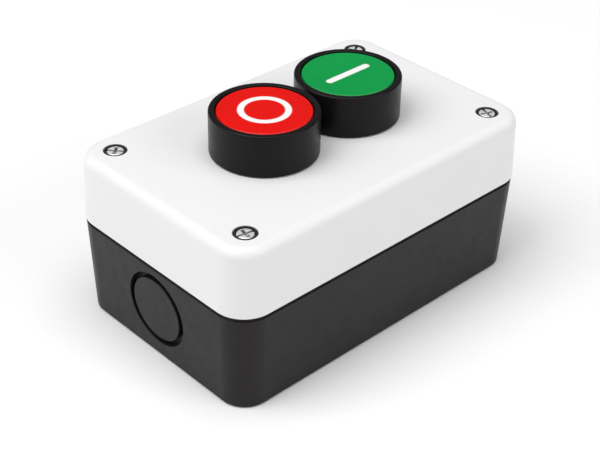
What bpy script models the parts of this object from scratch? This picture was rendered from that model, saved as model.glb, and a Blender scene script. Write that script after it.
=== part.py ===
"""Two-button control station: a surface-mounted enclosure with stop and start heads over contact blocks.

The back rests on z = 0 and the buttons face +Z. The long side runs along Y, with the stop button at -Y
and the start button at +Y. Everything is in metres.
"""

import math

import bmesh
import bpy
from mathutils import Matrix, Vector

MM = 0.001
GAP = 0.3 * MM  # clearance between neighbouring pieces
OVERCUT = 1.0 * MM  # how far a cutter runs past the face that it opens

# Enclosure
BOX_WIDTH = 68.0 * MM
BOX_LENGTH = 106.0 * MM
BOX_HEIGHT = 48.4 * MM
PARTING_HEIGHT = 29.0 * MM
CORNER_RADIUS = 8.8 * MM
WALL = 2.5 * MM
BASE_STEP = 0.2 * MM  # the base stands in from the lid by this much all round
BASE_DRAFT = 1.2 * MM  # the base narrows by this much a side from its rim to its back
BASE_EDGE = 0.6 * MM
SHADOW_GAP_DEPTH = 0.5 * MM  # a step in the base's outside, just under the lid
SHADOW_GAP_HEIGHT = 0.7 * MM
LID_DRAFT = 0.7 * MM
LID_EDGE_RADIUS = 2.4 * MM
TONGUE = 1.0 * MM
TONGUE_INSET = 1.8 * MM
TONGUE_HEIGHT = 1.75 * MM
SEAL_HEIGHT = 1.0 * MM

# Lid screws and the fixing holes in the back
SCREW_X = 25.4 * MM
SCREW_Y = 43.9 * MM
SCREW_BOSS_RADIUS = 5.0 * MM
SCREW_RECESS_RADIUS = 3.3 * MM
SCREW_RECESS_DEPTH = 3.1 * MM
SCREW_HEAD_RADIUS = 2.3 * MM
SCREW_HEAD_HEIGHT = 1.6 * MM
SCREW_RADIUS = 1.75 * MM
SCREW_TIP = 14.0 * MM
WASHER_FLOOR = 0.7 * MM
WASHER_HEIGHT = 2.7 * MM
FIXING_HOLE_RADIUS = 2.15 * MM
FIXING_HOLE_Y = 34.0 * MM

# Knock-outs in the two short sides
KNOCKOUT_HEIGHT = 15.3 * MM
KNOCKOUT_RADIUS = 9.95 * MM
KNOCKOUT_GROOVE = 1.7 * MM
KNOCKOUT_DEPTH = 1.6 * MM

# Heads
HEAD_PITCH = 30.0 * MM
TRAVEL = 4.3 * MM
BEZEL_RADIUS = 14.5 * MM
BEZEL_HEIGHT = 12.0 * MM
BEZEL_EDGE = 0.7 * MM
BARREL_RADIUS = 10.85 * MM
BARREL_LENGTH = 13.0 * MM
PISTON_BORE = 9.0 * MM
CAP_RADIUS = 12.5 * MM
CAP_RECESS = 0.2 * MM
CAP_HEIGHT = 4.8 * MM
CAP_WALL = 1.5 * MM
MARK_DEPTH = 0.6 * MM
MARK_OUTER = 7.0 * MM
MARK_INNER = 5.3 * MM
BAR_LENGTH = 15.5 * MM
BAR_WIDTH = 2.0 * MM
SHAFT_RADIUS = 4.4 * MM
STEM_TIP = 31.0 * MM
NUT_RADIUS = 14.0 * MM
NUT_HEIGHT = 5.0 * MM

# Contact blocks
BLOCK_LENGTH = 40.0 * MM
BLOCK_WIDTH = 11.6 * MM
BLOCK_TOP = 26.0 * MM
BLOCK_WALL = 1.2 * MM
BLOCK_BACK = 1.5 * MM
TOWER_HALF = 11.5 * MM
SHOULDER_TOP = 22.0 * MM
BAY_FLOOR = 17.9 * MM
STRIP = 0.8 * MM
STRIP_HALF_WIDTH = 2.5 * MM
PAD_RADIUS = 1.5 * MM
PAD_HEIGHT = 0.5 * MM
PAD_X = 6.2 * MM
TERMINAL_X = 15.2 * MM
BRIDGE_BOTTOM = 16.1 * MM
BRIDGE_HALF_LENGTH = 8.0 * MM
BRIDGE_HALF_WIDTH = 2.0 * MM
PLUNGER_HEAD_HALF = 2.5 * MM
NOTCH_BOTTOM = 8.0 * MM
NOTCH_TOP = 10.1 * MM
NOTCH_DEPTH = 1.0 * MM
CLIP_HALF_WIDTH = 3.0 * MM
TERMINAL_HOLE_RADIUS = 2.1 * MM
PAD_ROOT = 0.2 * MM  # how far a pad runs into the strip that carries it

ROUND_STEPS = 32
SMALL_ROUND_STEPS = 20
FINE_ROUND_STEPS = 16
CORNER_STEPS = 6
SHARP_ANGLE = math.radians(35)

# Levels worked out from the sizes above
RIM = PARTING_HEIGHT - GAP / 2
LID_BOTTOM = PARTING_HEIGHT + GAP / 2
TONGUE_TOP = RIM + TONGUE_HEIGHT
LID_STEP = TONGUE_TOP + SEAL_HEIGHT + 2 * GAP
LID_UNDERSIDE = BOX_HEIGHT - WALL
BEZEL_BOTTOM = BOX_HEIGHT + GAP
BEZEL_TOP = BOX_HEIGHT + BEZEL_HEIGHT
BARREL_BOTTOM = BOX_HEIGHT - BARREL_LENGTH
LEDGE_TOP = BARREL_BOTTOM + 2 * MM
CAP_TOP = BEZEL_TOP - CAP_RECESS
CAP_BOTTOM = CAP_TOP - CAP_HEIGHT
CUP_FLOOR = CAP_BOTTOM - TRAVEL - GAP
PISTON_TOP = CAP_BOTTOM + 0.5 * MM
PISTON_BOTTOM = PISTON_TOP - 9.9 * MM
SPRING_ROOF = PISTON_TOP - 1.7 * MM
BLOCK_BOTTOM = WALL + GAP
BLOCK_FLOOR = BLOCK_BOTTOM + BLOCK_WALL
BLOCK_ROOF = BLOCK_TOP - BLOCK_WALL
CAVITY_HALF = TOWER_HALF - BLOCK_WALL
STRIP_BOTTOM = BAY_FLOOR + GAP
COVER_FACE = BLOCK_WIDTH / 2 - BLOCK_WALL
TRAY_FACE = COVER_FACE - GAP
TRAY_BACK = BLOCK_BACK - BLOCK_WIDTH / 2
BRIDGE_TOP = BRIDGE_BOTTOM + STRIP
WINDOW_BOTTOM = BRIDGE_BOTTOM - GAP
WINDOW_TOP = BRIDGE_TOP + GAP
COLLAR_BOTTOM = WINDOW_BOTTOM - 2 * MM
WASHER_BOTTOM = BOX_HEIGHT - SCREW_RECESS_DEPTH + GAP
SCREW_SEAT = WASHER_BOTTOM + WASHER_FLOOR + GAP

WHITE_PLASTIC = ("light_grey_plastic", (0.87, 0.865, 0.87), 0.42, 0.0)
DARK_PLASTIC = ("dark_grey_plastic", (0.055, 0.05, 0.051), 0.5, 0.0)
BLACK_PLASTIC = ("black_plastic", (0.018, 0.016, 0.016), 0.45, 0.0)
RED_PLASTIC = ("red_plastic", (0.7, 0.012, 0.008), 0.35, 0.0)
GREEN_PLASTIC = ("green_plastic", (0.005, 0.31, 0.09), 0.35, 0.0)
MARK_PLASTIC = ("white_plastic", (0.9, 0.9, 0.9), 0.4, 0.0)
STEM_PLASTIC = ("natural_plastic", (0.7, 0.69, 0.64), 0.45, 0.0)
BLOCK_PLASTIC = ("block_plastic", (0.045, 0.047, 0.05), 0.5, 0.0)
COVER_PLASTIC = ("cover_plastic", (0.33, 0.34, 0.35), 0.5, 0.0)
PLUNGER_RED = ("plunger_red", (0.55, 0.02, 0.015), 0.45, 0.0)
PLUNGER_GREEN = ("plunger_green", (0.01, 0.28, 0.08), 0.45, 0.0)
SEAL_RUBBER = ("seal_rubber", (0.02, 0.02, 0.02), 0.8, 0.0)
PLATED_STEEL = ("plated_steel", (0.72, 0.72, 0.7), 0.3, 1.0)
SPRING_STEEL = ("spring_steel", (0.6, 0.6, 0.62), 0.25, 1.0)
BRASS = ("brass", (0.8, 0.58, 0.25), 0.3, 1.0)


def clear_scene():
    for obj in list(bpy.data.objects):
        bpy.data.objects.remove(obj, do_unlink=True)


def new_collection(name):
    collection = bpy.data.collections.new(name)
    bpy.context.scene.collection.children.link(collection)
    return collection


def material(finish):
    """The finish's material, made the first time that a piece asks for it."""
    name, colour, roughness, metallic = finish
    found = bpy.data.materials.get(name)
    if found:
        return found
    made = bpy.data.materials.new(name)
    made.use_nodes = True
    shader = made.node_tree.nodes["Principled BSDF"]
    shader.inputs["Base Color"].default_value = (*colour, 1.0)
    shader.inputs["Roughness"].default_value = roughness
    shader.inputs["Metallic"].default_value = metallic
    made.diffuse_color = (*colour, 1.0)
    return made


def add_object(name, data, finish=None, parent=None):
    """A part where it has a finish, and otherwise a helper, which isn't rendered."""
    obj = bpy.data.objects.new(name, data)
    obj.parent = parent
    if finish:
        data.materials.append(material(finish))
        PARTS.objects.link(obj)
    else:
        obj.hide_render = True
        obj.display_type = "WIRE"
        CUTTERS.objects.link(obj)
    return obj


def evaluated_mesh(obj, name):
    """The object's mesh with its modifiers in it, or its curve's mesh with the caps welded. The object itself
    is removed."""
    bpy.context.view_layer.update()
    graph = bpy.context.evaluated_depsgraph_get()
    mesh = bpy.data.meshes.new_from_object(obj.evaluated_get(graph))
    mesh.name = name
    work = bmesh.new()
    work.from_mesh(mesh)
    bmesh.ops.remove_doubles(work, verts=work.verts, dist=0.001 * MM)
    work.to_mesh(mesh)
    work.free()
    bpy.data.objects.remove(obj)
    mesh.materials.clear()
    mesh.shade_smooth()
    mesh.set_sharp_from_angle(angle=SHARP_ANGLE)
    return mesh


def temporary(data):
    """An object that stands in the scene only until its mesh is read."""
    obj = bpy.data.objects.new("temporary", data)
    bpy.context.scene.collection.objects.link(obj)
    return obj


def block(name, low, high, finish=None, parent=None):
    """A box between two corners."""
    low, high = Vector(low), Vector(high)
    mesh = bpy.data.meshes.new(name)
    work = bmesh.new()
    bmesh.ops.create_cube(work, size=1.0)
    bmesh.ops.scale(work, vec=high - low, verts=work.verts)
    bmesh.ops.translate(work, vec=(low + high) / 2, verts=work.verts)
    work.to_mesh(mesh)
    work.free()
    return add_object(name, mesh, finish, parent)


def rod(name, centre, radius, bottom, top, finish=None, parent=None, steps=SMALL_ROUND_STEPS):
    """An upright cylinder, with its axis through centre = (x, y)."""
    mesh = bpy.data.meshes.new(name)
    work = bmesh.new()
    middle = Matrix.Translation((*centre, (bottom + top) / 2))
    bmesh.ops.create_cone(
        work, cap_ends=True, segments=steps, radius1=radius, radius2=radius, depth=top - bottom, matrix=middle
    )
    work.to_mesh(mesh)
    work.free()
    mesh.shade_smooth()
    mesh.set_sharp_from_angle(angle=SHARP_ANGLE)
    return add_object(name, mesh, finish, parent)


def turned(name, profile, finish=None, parent=None, steps=ROUND_STEPS):
    """A profile of (radius, height) points turned about Z. It runs down its outer side, and closes on itself
    where it starts off the axis."""
    mesh = bpy.data.meshes.new(name)
    count = len(profile)
    edges = [(i, i + 1) for i in range(count - 1)]
    if profile[0][0] > 0:
        edges.append((count - 1, 0))
    mesh.from_pydata([(radius, 0, height) for radius, height in profile], edges, [])
    obj = temporary(mesh)
    screw = obj.modifiers.new("turn", "SCREW")
    screw.axis = "Z"
    screw.angle = math.tau
    screw.steps = steps
    screw.render_steps = steps
    screw.use_merge_vertices = True
    screw.merge_threshold = 0.00001
    return add_object(name, evaluated_mesh(obj, name), finish, parent)


def plate(name, outline, low, high, finish=None, parent=None):
    """An outline of (x, z) points made into a plate from y = low to y = high."""
    curve = bpy.data.curves.new(name, "CURVE")
    curve.dimensions = "2D"
    curve.fill_mode = "BOTH"
    curve.extrude = (high - low) / 2
    spline = curve.splines.new("POLY")
    spline.points.add(len(outline) - 1)
    for point, (x, z) in zip(spline.points, outline):
        point.co = (x, z, 0, 1)
    spline.use_cyclic_u = True
    mesh = evaluated_mesh(temporary(curve), name)
    mesh.transform(Matrix.Translation((0, (low + high) / 2, 0)) @ Matrix.Rotation(math.pi / 2, 4, "X"))
    return add_object(name, mesh, finish, parent)


def rounded_rectangle(half_x, half_y, radius):
    """The corner points of a rounded rectangle, anticlockwise, with each corner an arc."""
    points = []
    for corner, (sign_x, sign_y) in enumerate(((1, 1), (-1, 1), (-1, -1), (1, -1))):
        for step in range(CORNER_STEPS + 1):
            angle = math.pi / 2 * (corner + step / CORNER_STEPS)
            x = sign_x * (half_x - radius) + radius * math.cos(angle)
            y = sign_y * (half_y - radius) + radius * math.sin(angle)
            points.append((x, y))
    return points


def stacked(name, sections, finish=None, parent=None):
    """A solid through rounded rectangles, from the lowest up. A section is (height, inset): how far it stands
    in from the lid's outline at the parting line, which also rounds its corners less."""
    work = bmesh.new()
    rings = []
    for height, inset in sections:
        outline = rounded_rectangle(BOX_WIDTH / 2 - inset, BOX_LENGTH / 2 - inset, CORNER_RADIUS - inset)
        rings.append([work.verts.new((x, y, height)) for x, y in outline])
    work.faces.new(reversed(rings[0]))
    work.faces.new(rings[-1])
    for lower, upper in zip(rings, rings[1:]):
        for i in range(len(lower)):
            j = (i + 1) % len(lower)
            work.faces.new((lower[i], lower[j], upper[j], upper[i]))
    mesh = bpy.data.meshes.new(name)
    work.to_mesh(mesh)
    work.free()
    mesh.shade_smooth()
    mesh.set_sharp_from_angle(angle=SHARP_ANGLE)
    return add_object(name, mesh, finish, parent)


def coil(name, radius, wire, bottom, top, turns, parent, points_a_turn=10):
    """A compression spring. Its end turns lie nearly flat, so the pitch eases in and out."""
    curve = bpy.data.curves.new(name, "CURVE")
    curve.dimensions = "3D"
    curve.bevel_depth = wire
    curve.bevel_resolution = 1
    curve.use_fill_caps = True
    spline = curve.splines.new("POLY")
    last = turns * points_a_turn
    spline.points.add(last)
    low, high = bottom + wire, top - wire
    flat = 2.2 * wire  # the rise of an end turn
    for i, point in enumerate(spline.points):
        turn = i / points_a_turn
        if turn < 1:
            height = low + flat * turn
        elif turn > turns - 1:
            height = high - flat * (turns - turn)
        else:
            height = low + flat + (high - low - 2 * flat) * (turn - 1) / (turns - 2)
        angle = math.tau * turn
        point.co = (radius * math.cos(angle), radius * math.sin(angle), height, 1)
    return add_object(name, curve, SPRING_STEEL, parent)


def boolean(piece, other, operation):
    modifier = piece.modifiers.new(other.name, "BOOLEAN")
    modifier.operation = operation
    modifier.object = other
    modifier.solver = "EXACT"


def cut(piece, *cutters):
    for cutter in cutters:
        boolean(piece, cutter, "DIFFERENCE")


def join(piece, *others):
    for other in others:
        boolean(piece, other, "UNION")


def rounded_edge(radius, height, edge, start, end, steps=3):
    """Points of a quarter round inside a corner at (radius, height), between two angles in degrees."""
    centre_radius, centre_height = radius - edge, height - edge
    points = []
    for step in range(steps + 1):
        angle = math.radians(start + (end - start) * step / steps)
        points.append((centre_radius + edge * math.cos(angle), centre_height + edge * math.sin(angle)))
    return points


def stand(name, x, y, turn=0.0):
    """An empty on an upright axis at (x, y), which holds the pieces made round that axis."""
    empty = bpy.data.objects.new(name, None)
    empty.location = (x, y, 0)
    empty.rotation_euler = (0, 0, turn)
    PARTS.objects.link(empty)
    return empty


def base_inset(height):
    """How far the base's outside stands in from the lid's outline at a height."""
    return BASE_STEP + BASE_DRAFT * (1 - height / RIM)


def screw_places():
    return [(SCREW_X * side, SCREW_Y * end) for end in (-1, 1) for side in (-1, 1)]


def base_box():
    step = RIM - SHADOW_GAP_HEIGHT
    outside = [
        (0, base_inset(0) + BASE_EDGE),
        (BASE_EDGE, base_inset(BASE_EDGE)),
        (step, base_inset(step)),
        (step, BASE_STEP + SHADOW_GAP_DEPTH),
        (RIM, BASE_STEP + SHADOW_GAP_DEPTH),
        (RIM, TONGUE_INSET),
        (TONGUE_TOP, TONGUE_INSET),
    ]
    inside = [
        (WALL, base_inset(WALL) + WALL),
        (RIM, TONGUE_INSET + TONGUE),
        (TONGUE_TOP + OVERCUT, TONGUE_INSET + TONGUE),
    ]
    box = stacked("base_box", outside, DARK_PLASTIC)
    cut(box, stacked("base_cavity", inside))
    for number, (x, y) in enumerate(screw_places(), 1):
        add_screw_boss(box, number, x, y)
    for end in (-1, 1):
        for side in (-1, 1):
            join(box, *block_clip(side, end))
        cut(box, knockout_groove(end))
        place = (0, end * FIXING_HOLE_Y)
        cut(box, rod(f"fixing_hole_{end}", place, FIXING_HOLE_RADIUS, -OVERCUT, WALL + OVERCUT))


def add_screw_boss(box, number, x, y):
    """A post for a lid screw, with two webs to the walls and a blind hole."""
    web = 1.0 * MM
    wall_x = math.copysign(BOX_WIDTH / 2 - WALL, x)
    wall_y = math.copysign(BOX_LENGTH / 2 - WALL, y)
    low, high = WALL / 2, RIM - web
    post = rod(f"boss_{number}", (x, y), SCREW_BOSS_RADIUS, low, RIM)
    across = block(f"boss_web_x_{number}", (min(x, wall_x), y - web, low), (max(x, wall_x), y + web, high))
    along = block(f"boss_web_y_{number}", (x - web, min(y, wall_y), low), (x + web, max(y, wall_y), high))
    join(box, post, across, along)
    cut(box, rod(f"boss_hole_{number}", (x, y), SCREW_RADIUS + GAP, SCREW_TIP - 2 * MM, RIM + OVERCUT))


def block_clip(side, end):
    """A post at one side of the contact block at one end, with a nose that reaches into the block's notch."""
    near, far = BLOCK_LENGTH / 2 + GAP, BLOCK_LENGTH / 2 + 2.3 * MM
    nose = near - NOTCH_DEPTH
    y = end * HEAD_PITCH / 2
    front, back = y - CLIP_HALF_WIDTH, y + CLIP_HALF_WIDTH
    post = block(
        f"clip_post_{side}_{end}",
        (min(side * near, side * far), front, WALL / 2),
        (max(side * near, side * far), back, NOTCH_TOP - GAP),
    )
    hook = block(
        f"clip_nose_{side}_{end}",
        (min(side * nose, side * far), front, NOTCH_BOTTOM + GAP),
        (max(side * nose, side * far), back, NOTCH_BOTTOM + GAP + 1 * MM),
    )
    return post, hook


def knockout_groove(end):
    """The ring groove round a knock-out, square to the drafted wall."""
    tilt = math.atan2(BASE_DRAFT, RIM)
    outer, inner = KNOCKOUT_RADIUS + KNOCKOUT_GROOVE / 2, KNOCKOUT_RADIUS - KNOCKOUT_GROOVE / 2
    profile = [(outer, OVERCUT), (outer, -KNOCKOUT_DEPTH), (inner, -KNOCKOUT_DEPTH), (inner, OVERCUT)]
    groove = turned(f"knockout_groove_{end}", profile)
    groove.location = (0, end * (BOX_LENGTH / 2 - base_inset(KNOCKOUT_HEIGHT)), KNOCKOUT_HEIGHT)
    groove.rotation_euler = (-end * (math.pi / 2 + tilt), 0, 0)
    return groove


def lid():
    outside = [(LID_BOTTOM, 0.0)]
    steps = 4
    for step in range(steps + 1):
        angle = math.pi / 2 * step / steps
        height = BOX_HEIGHT - LID_EDGE_RADIUS * (1 - math.sin(angle))
        outside.append((height, LID_DRAFT + LID_EDGE_RADIUS * (1 - math.cos(angle))))
    rebate_inset = TONGUE_INSET - GAP
    cavity_inset = rebate_inset + TONGUE + 2 * GAP
    inside = [
        (LID_BOTTOM - OVERCUT, rebate_inset),
        (LID_STEP, rebate_inset),
        (LID_STEP, cavity_inset),
        (LID_UNDERSIDE, cavity_inset + LID_DRAFT),
    ]
    cover = stacked("lid", outside, WHITE_PLASTIC)
    cut(cover, stacked("lid_cavity", inside))
    sleeve_bottom, recess_floor = LID_BOTTOM + 2 * GAP, BOX_HEIGHT - SCREW_RECESS_DEPTH
    for number, place in enumerate(screw_places(), 1):
        sleeve = rod(f"sleeve_{number}", place, SCREW_BOSS_RADIUS, sleeve_bottom, BOX_HEIGHT - OVERCUT)
        recess = rod(f"recess_{number}", place, SCREW_RECESS_RADIUS, recess_floor, BOX_HEIGHT + OVERCUT)
        hole = rod(f"sleeve_hole_{number}", place, SCREW_RADIUS + GAP, LID_BOTTOM, BOX_HEIGHT)
        join(cover, sleeve)
        cut(cover, recess, hole)
    bottom, top = LID_UNDERSIDE - OVERCUT, BOX_HEIGHT + OVERCUT
    for end in (-1, 1):
        centre = (0, end * HEAD_PITCH / 2)
        cut(cover, rod(f"panel_hole_{end}", centre, BARREL_RADIUS + GAP, bottom, top))


def lid_gasket():
    bottom = TONGUE_TOP + GAP
    top = bottom + SEAL_HEIGHT
    gasket = stacked("lid_gasket", [(bottom, TONGUE_INSET), (top, TONGUE_INSET)], SEAL_RUBBER)
    inner = TONGUE_INSET + TONGUE
    window = [(bottom - OVERCUT, inner), (top + OVERCUT, inner)]
    cut(gasket, stacked("lid_gasket_window", window))


def lid_screw(number, x, y, turn):
    """A captive screw with a slot and a cross in its head, and the rubber cup washer under the head."""
    seat, top = SCREW_SEAT, SCREW_SEAT + SCREW_HEAD_HEIGHT
    stem = SCREW_RADIUS
    profile = [(0, top), *rounded_edge(SCREW_HEAD_RADIUS, top, 0.4 * MM, 90, 0)]
    profile += [(SCREW_HEAD_RADIUS, seat), (stem, seat), (stem, SCREW_TIP + 1 * MM), (stem / 2, SCREW_TIP)]
    profile += [(0, SCREW_TIP)]
    axis = stand(f"lid_screw_axis_{number}", x, y, turn)
    screw = turned(f"lid_screw_{number}", profile, PLATED_STEEL, axis, SMALL_ROUND_STEPS)
    half = 0.42 * MM
    across = 1.9 * MM
    slot = block(
        f"slot_{number}",
        (-SCREW_HEAD_RADIUS - OVERCUT, -half, top - 0.8 * MM),
        (SCREW_HEAD_RADIUS + OVERCUT, half, top + OVERCUT),
        parent=axis,
    )
    cross = block(
        f"cross_{number}", (-half, -across, top - 1.2 * MM), (half, across, top + OVERCUT), parent=axis
    )
    cut(screw, slot, cross)
    outer, bore, cup = SCREW_RECESS_RADIUS - GAP, SCREW_RADIUS + GAP, SCREW_HEAD_RADIUS + GAP
    bottom, floor, rim = WASHER_BOTTOM, WASHER_BOTTOM + WASHER_FLOOR, WASHER_BOTTOM + WASHER_HEIGHT
    ring = [(outer, rim), (outer, bottom), (bore, bottom), (bore, floor), (cup, floor), (cup, rim)]
    turned(f"lid_screw_washer_{number}", ring, SEAL_RUBBER, axis, SMALL_ROUND_STEPS)


def bezel(name, axis):
    """The black collar of a head, with its groove for the panel gasket and its barrel through the lid."""
    groove_roof = BEZEL_BOTTOM + 1.0 * MM
    gasket_inner, gasket_outer = BARREL_RADIUS + 0.6 * MM, BEZEL_RADIUS - 0.9 * MM
    seal_seat, seal_radius = CUP_FLOOR - 2.8 * MM, PISTON_BORE + 1.0 * MM
    cup = CAP_RADIUS + GAP
    edge = 0.4 * MM
    profile = rounded_edge(BEZEL_RADIUS, BEZEL_TOP, BEZEL_EDGE, 90, 0)
    profile += [(BEZEL_RADIUS, BEZEL_BOTTOM), (gasket_outer, BEZEL_BOTTOM), (gasket_outer, groove_roof)]
    profile += [(gasket_inner, groove_roof), (gasket_inner, BEZEL_BOTTOM), (BARREL_RADIUS, BEZEL_BOTTOM)]
    profile += [(BARREL_RADIUS, BARREL_BOTTOM + edge), (BARREL_RADIUS - edge, BARREL_BOTTOM)]
    profile += [(SHAFT_RADIUS + 0.4 * MM, BARREL_BOTTOM), (SHAFT_RADIUS + 0.4 * MM, LEDGE_TOP)]
    profile += [(PISTON_BORE, LEDGE_TOP), (PISTON_BORE, seal_seat), (seal_radius, seal_seat)]
    profile += [(seal_radius, CUP_FLOOR), (cup, CUP_FLOOR), (cup, BEZEL_TOP - edge), (cup + edge, BEZEL_TOP)]
    turned(f"{name}_bezel", profile, BLACK_PLASTIC, axis)


def seals(name, axis):
    inner, outer = BARREL_RADIUS + 0.9 * MM, BEZEL_RADIUS - 1.2 * MM
    top = BEZEL_BOTTOM + 0.7 * MM
    panel = [(outer, top), (outer, BEZEL_BOTTOM), (inner, BEZEL_BOTTOM), (inner, top)]
    turned(f"{name}_panel_gasket", panel, SEAL_RUBBER, axis, SMALL_ROUND_STEPS)
    seat, lip, wall = CUP_FLOOR - 2.5 * MM, PISTON_BORE, PISTON_BORE + 0.7 * MM
    middle, top = seat + 1.1 * MM, seat + 2.2 * MM
    profile = [(wall, top), (wall, seat), (wall - 0.4 * MM, seat), (lip, middle), (lip, top)]
    turned(f"{name}_lip_seal", profile, SEAL_RUBBER, axis, SMALL_ROUND_STEPS)


def fixing_nut(name, axis):
    """The notched ring nut that draws a head down on the lid from inside."""
    top = LID_UNDERSIDE - GAP
    bottom = top - NUT_HEIGHT
    bore = BARREL_RADIUS + GAP
    edge = 0.5 * MM
    profile = [(NUT_RADIUS, top), (NUT_RADIUS, bottom + edge), (NUT_RADIUS - edge, bottom)]
    profile += [(bore, bottom), (bore, top)]
    nut = turned(f"{name}_fixing_nut", profile, BLACK_PLASTIC, axis)
    notches = 8
    half = 1.5 * MM
    for number in range(notches):
        notch = block(
            f"{name}_nut_notch_{number}",
            (NUT_RADIUS - 1.2 * MM, -half, bottom - OVERCUT),
            (NUT_RADIUS + OVERCUT, half, top - 1.4 * MM),
            parent=axis,
        )
        turn = Matrix.Rotation(math.tau * (number + 0.5) / notches, 4, "Z")
        notch.data.transform(turn)
        cut(nut, notch)


def cap_profile(recess):
    """Half section of a button cap, with a ring recess for its mark where recess = (inner, outer) radii."""
    roof, skirt = CAP_TOP - 2.6 * MM, CAP_RADIUS - CAP_WALL
    socket_bottom, socket_roof = CAP_BOTTOM + 0.8 * MM, CAP_TOP - 2.2 * MM
    socket_inner, socket_outer = 4.5 * MM, 5.8 * MM
    floor = CAP_TOP - MARK_DEPTH - GAP
    profile = [(0, CAP_TOP)]
    if recess:
        inner, outer = recess
        profile += [(inner, CAP_TOP), (inner, floor), (outer, floor), (outer, CAP_TOP)]
    profile += rounded_edge(CAP_RADIUS, CAP_TOP, 0.5 * MM, 90, 0)
    profile += [(CAP_RADIUS, CAP_BOTTOM), (skirt, CAP_BOTTOM), (skirt, roof), (socket_outer, roof)]
    profile += [(socket_outer, socket_bottom), (socket_inner, socket_bottom), (socket_inner, socket_roof)]
    return profile + [(0, socket_roof)]


def stop_cap(axis):
    """The red cap and its white ring."""
    turned("stop_cap", cap_profile((MARK_INNER - GAP, MARK_OUTER + GAP)), RED_PLASTIC, axis)
    floor = CAP_TOP - MARK_DEPTH
    ring = [(MARK_OUTER, CAP_TOP), (MARK_OUTER, floor), (MARK_INNER, floor), (MARK_INNER, CAP_TOP)]
    turned("stop_mark", ring, MARK_PLASTIC, axis)


def bar(name, grow, bottom, top, finish, parent):
    """A flat bar along Y with round ends, bigger all round by grow."""
    radius = BAR_WIDTH / 2 + grow
    reach = BAR_LENGTH / 2 - BAR_WIDTH / 2
    work = bmesh.new()
    steps = 8
    outline = []
    for end, start in ((1, 0.0), (-1, math.pi)):
        for step in range(steps + 1):
            angle = start + math.pi * step / steps
            outline.append((radius * math.cos(angle), end * reach + radius * math.sin(angle)))
    face = work.faces.new([work.verts.new((x, y, bottom)) for x, y in outline])
    raised = bmesh.ops.extrude_face_region(work, geom=[face])
    verts = [item for item in raised["geom"] if isinstance(item, bmesh.types.BMVert)]
    bmesh.ops.translate(work, vec=(0, 0, top - bottom), verts=verts)
    bmesh.ops.recalc_face_normals(work, faces=work.faces)
    mesh = bpy.data.meshes.new(name)
    work.to_mesh(mesh)
    work.free()
    return add_object(name, mesh, finish, parent)


def start_cap(axis):
    """The green cap and its white bar."""
    cap = turned("start_cap", cap_profile(None), GREEN_PLASTIC, axis)
    floor = CAP_TOP - MARK_DEPTH
    cut(cap, bar("start_mark_recess", GAP, floor - GAP, CAP_TOP + OVERCUT, None, axis))
    bar("start_mark", 0.0, floor, CAP_TOP, MARK_PLASTIC, axis)


def stem(name, axis):
    """The piston under a cap, hollow for the return spring, with the shaft that reaches the contact block."""
    nose = CAP_TOP - 2.5 * MM
    peg, outer = 4.2 * MM, PISTON_BORE - GAP
    skirt = outer - 1.2 * MM
    edge = 0.4 * MM
    profile = [(0, nose), (peg, nose), (peg, PISTON_TOP), (outer, PISTON_TOP), (outer, PISTON_BOTTOM)]
    profile += [(skirt, PISTON_BOTTOM), (skirt, SPRING_ROOF), (SHAFT_RADIUS, SPRING_ROOF)]
    profile += [(SHAFT_RADIUS, STEM_TIP + edge), (SHAFT_RADIUS - edge, STEM_TIP), (0, STEM_TIP)]
    turned(f"{name}_stem", profile, STEM_PLASTIC, axis, SMALL_ROUND_STEPS)
    coil(f"{name}_return_spring", 6.7 * MM, 0.4 * MM, LEDGE_TOP + GAP, SPRING_ROOF - GAP, 5, axis)


def head(name, axis, cap):
    bezel(name, axis)
    seals(name, axis)
    fixing_nut(name, axis)
    cap(axis)
    stem(name, axis)


def block_outline(shoulder):
    """The block's side, with its terminal shoulders at a height."""
    end = BLOCK_LENGTH / 2
    right = [(end, BLOCK_BOTTOM), (end, shoulder), (TOWER_HALF, shoulder), (TOWER_HALF, BLOCK_TOP)]
    return right + [(-x, z) for x, z in reversed(right)]


def contact_housing(name, axis):
    """The block's tray, closed on one side, with a terminal bay at each end."""
    outline, outside = block_outline(SHOULDER_TOP), -BLOCK_WIDTH / 2
    back = plate(f"{name}_contact_housing", outline, outside, TRAY_BACK, BLOCK_PLASTIC, axis)
    rear = TRAY_BACK - BLOCK_BACK / 2
    join(back, plate(f"{name}_housing_body", block_outline(BAY_FLOOR), rear, TRAY_FACE, parent=axis))
    cavity = block(
        f"{name}_housing_cavity",
        (-CAVITY_HALF, TRAY_BACK, BLOCK_FLOOR),
        (CAVITY_HALF, TRAY_FACE + OVERCUT, BLOCK_ROOF),
        parent=axis,
    )
    reach = PLUNGER_HEAD_HALF + GAP
    throat = block(
        f"{name}_housing_throat",
        (-reach, -reach, BLOCK_ROOF - OVERCUT),
        (reach, reach, BLOCK_TOP + OVERCUT),
        parent=axis,
    )
    slot_half = STRIP_HALF_WIDTH + GAP
    strip_slot = block(
        f"{name}_housing_strip_slot",
        (-TOWER_HALF - OVERCUT, -slot_half, BAY_FLOOR),
        (TOWER_HALF + OVERCUT, slot_half, STRIP_BOTTOM + STRIP + GAP),
        parent=axis,
    )
    cut(back, cavity, throat, strip_slot)
    bore_bottom, bore_top = 9.0 * MM, BAY_FLOOR + OVERCUT
    for side in (-1, 1):
        place = (side * TERMINAL_X, 0)
        bore = rod(f"{name}_housing_bore_{side}", place, 2.0 * MM, bore_bottom, bore_top, parent=axis)
        cut(back, clip_notch(f"{name}_housing_notch", side, axis), bore)


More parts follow.
